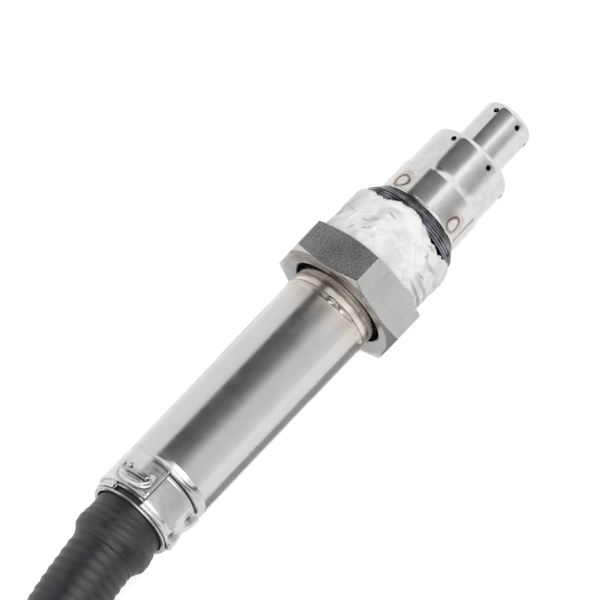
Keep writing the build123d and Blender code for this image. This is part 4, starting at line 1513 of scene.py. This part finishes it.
    def hook(self, places: Array, arcs: Array, radius: float) -> tuple[Array, Array]:
        """Presses the C: a raised rim open towards the tip, a slit inside it and the tongue.

        Args:
            places: Places along the probe.
            arcs: Distances round it, in millimetres.
            radius: Distance from the axis.

        Returns:
            The height in millimetres, and the painted shade in the slit and round the rim, from 0 to 1.
        """
        across = places - self.hook_x
        along = arcs - math.radians(self.hook_turn) * radius
        ring = np.sqrt((across / self.hook_across) ** 2 + (along / self.hook_along) ** 2) + 1e-6
        slope = np.hypot(across / self.hook_across**2, along / self.hook_along**2) / ring + 1e-6
        beyond = (ring - 1.0) / slope
        lift = self.hook_rim.at(beyond) * smooth_step(across, 1.2, 0.3)
        lift += self.hook_moat.at(beyond) * smooth_step(across, 1.8, 0.6)
        lift -= 0.1 * smooth_step(beyond, 0.0, -0.6) * smooth_step(across, 1.5, -0.6)
        chord = across - self.slit_x
        inside = smooth_step(np.abs(along - 0.25), 2.35, 1.9)
        slit = self.slit.at(chord) * inside
        edge = self.slit_edge.at(chord) * smooth_step(np.abs(along - 0.4), 1.7, 1.1)
        curl = np.exp(-(self.slit_curl.away(across, along) ** 4))
        # painted shade in the slit, along its edge, in its curl and at its end
        dark = np.maximum.reduce([slit, edge, curl, self.slit_end.at(across, along)])
        lift += self.lobe_height * self.lobe.at(across, along)
        lift += self.tongue.at(chord) * inside - self.slit_depth * dark
        # painted shade in a ring just outside the rim, and inside the C
        rim_shade = self.hook_rim_shade.at(beyond) * smooth_step(across, 2.0, 0.9)
        rim_shade += 0.3 * smooth_step(beyond, 0.1, -0.35) * smooth_step(across, 0.9, 0.1)
        return lift, np.maximum(dark, rim_shade)


@dataclass
class SoftEdges:
    """Edges that a tool or a tumbler has broken, so that they catch the light."""

    widths: tuple[tuple[str, float], ...] = (
        ("swivel_nut", 0.14), ("crimp_ferrule", 0.07), ("plug_housing", 0.25), ("plug_retainer", 0.08),
    )
    sharpest: float = 26.0
    joined_within: float = 0.002

    def build(self) -> None:
        """Joins the faces of each of these nodes and breaks its edges, with modifiers."""
        for node, width in self.widths:
            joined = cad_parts[node].modifiers.new("joined_faces", "WELD")
            joined.merge_threshold = self.joined_within * MM
            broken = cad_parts[node].modifiers.new("broken_edges", "BEVEL")
            broken.width = width * MM
            broken.segments = 2
            broken.limit_method = "ANGLE"
            broken.angle_limit = math.radians(self.sharpest)
            broken.use_clamp_overlap = False
            log.info("%s: edges broken by %.2f mm", node, width)


@dataclass
class Dressing:
    """Finishes for the nodes that keep their own shape."""

    finishes: tuple[tuple[str, Finish], ...] = (
        ("rear_tube", TubeSteel("satin_tube", (0.68, 0.665, 0.66), 0.2, 0.3, 0.001, mottle=0.03, shade=0.02)),
        ("outer_protector", CapSteel("drawn_cap", (0.72, 0.71, 0.7), 0.14, 0.22, 0.0022, 1.4, 0.035, 0.05)),
        ("inner_protector", Steel("drawn_cup", (0.7, 0.69, 0.68), 0.25)),
        (
            "swivel_nut",
            NutSteel("machined_nut", (0.6, 0.595, 0.59), 0.24, 0.2, 0.009, mottle=0.03, shade=0.04),
        ),
        ("sensor_body", BodySteel("tinted_body", (0.68, 0.64, 0.6), 0.2, 0.3, 0.002, mottle=0.04)),
        ("crimp_ferrule", Steel("bright_ferrule", (0.58, 0.57, 0.565), 0.22)),
        ("insulator_clip", Steel("clip_strip", (0.7, 0.69, 0.68), 0.3)),
        ("contact_springs", Steel("spring_strip", (0.74, 0.73, 0.7), 0.25)),
        ("packing_ring", Steel("ring_steel", (0.6, 0.59, 0.58), 0.3)),
        ("plug_terminals", Steel("plated_terminals", (0.8, 0.7, 0.45), 0.25)),
        ("sensing_element", Moulded("fired_element", (0.82, 0.81, 0.76), 0.5)),
        ("ceramic_holder", Moulded("holder_ceramic", (0.86, 0.85, 0.82), 0.55)),
        ("ceramic_sleeve", Moulded("sleeve_ceramic", (0.86, 0.85, 0.82), 0.55)),
        ("contact_insulator", Moulded("insulator_ceramic", (0.86, 0.85, 0.82), 0.55)),
        ("talc_packing", Moulded("pressed_talc", (0.8, 0.79, 0.75), 0.8)),
        ("lead_wires", Moulded("wire_cover", (0.75, 0.75, 0.73), 0.4)),
        ("grommet", Moulded("grommet_rubber", (0.1, 0.1, 0.11), 0.55)),
        ("plug_boot", Moulded("plug_boot_rubber", (0.024, 0.0245, 0.029), 0.5)),
        ("plug_housing", Moulded("plug_plastic", (0.03, 0.03, 0.034), 0.42)),
        ("plug_seal", Moulded("plug_seal_rubber", (0.42, 0.12, 0.05), 0.5)),
        ("plug_retainer", Moulded("retainer_plastic", (0.3, 0.31, 0.33), 0.45)),
    )

    def build(self) -> None:
        """Dresses each of these nodes."""
        for node, finish in self.finishes:
            dress(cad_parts[node], finish.make())
            log.info("%s: dressed with %s", node, finish.name)


def main() -> None:
    """Builds the studio and dresses the sensor piece by piece."""
    logging.basicConfig(level=logging.INFO, format="%(name)s: %(message)s")
    PhotoCamera().build()
    Lead().build()
    Studio().build()
    RearBoot().build()
    EarClamp().build()
    NeckWeld().build()
    PasteCoat().build()
    SpotWelds().build()
    SoftEdges().build()
    Dressing().build()


if __name__ == "__main__":
    main()
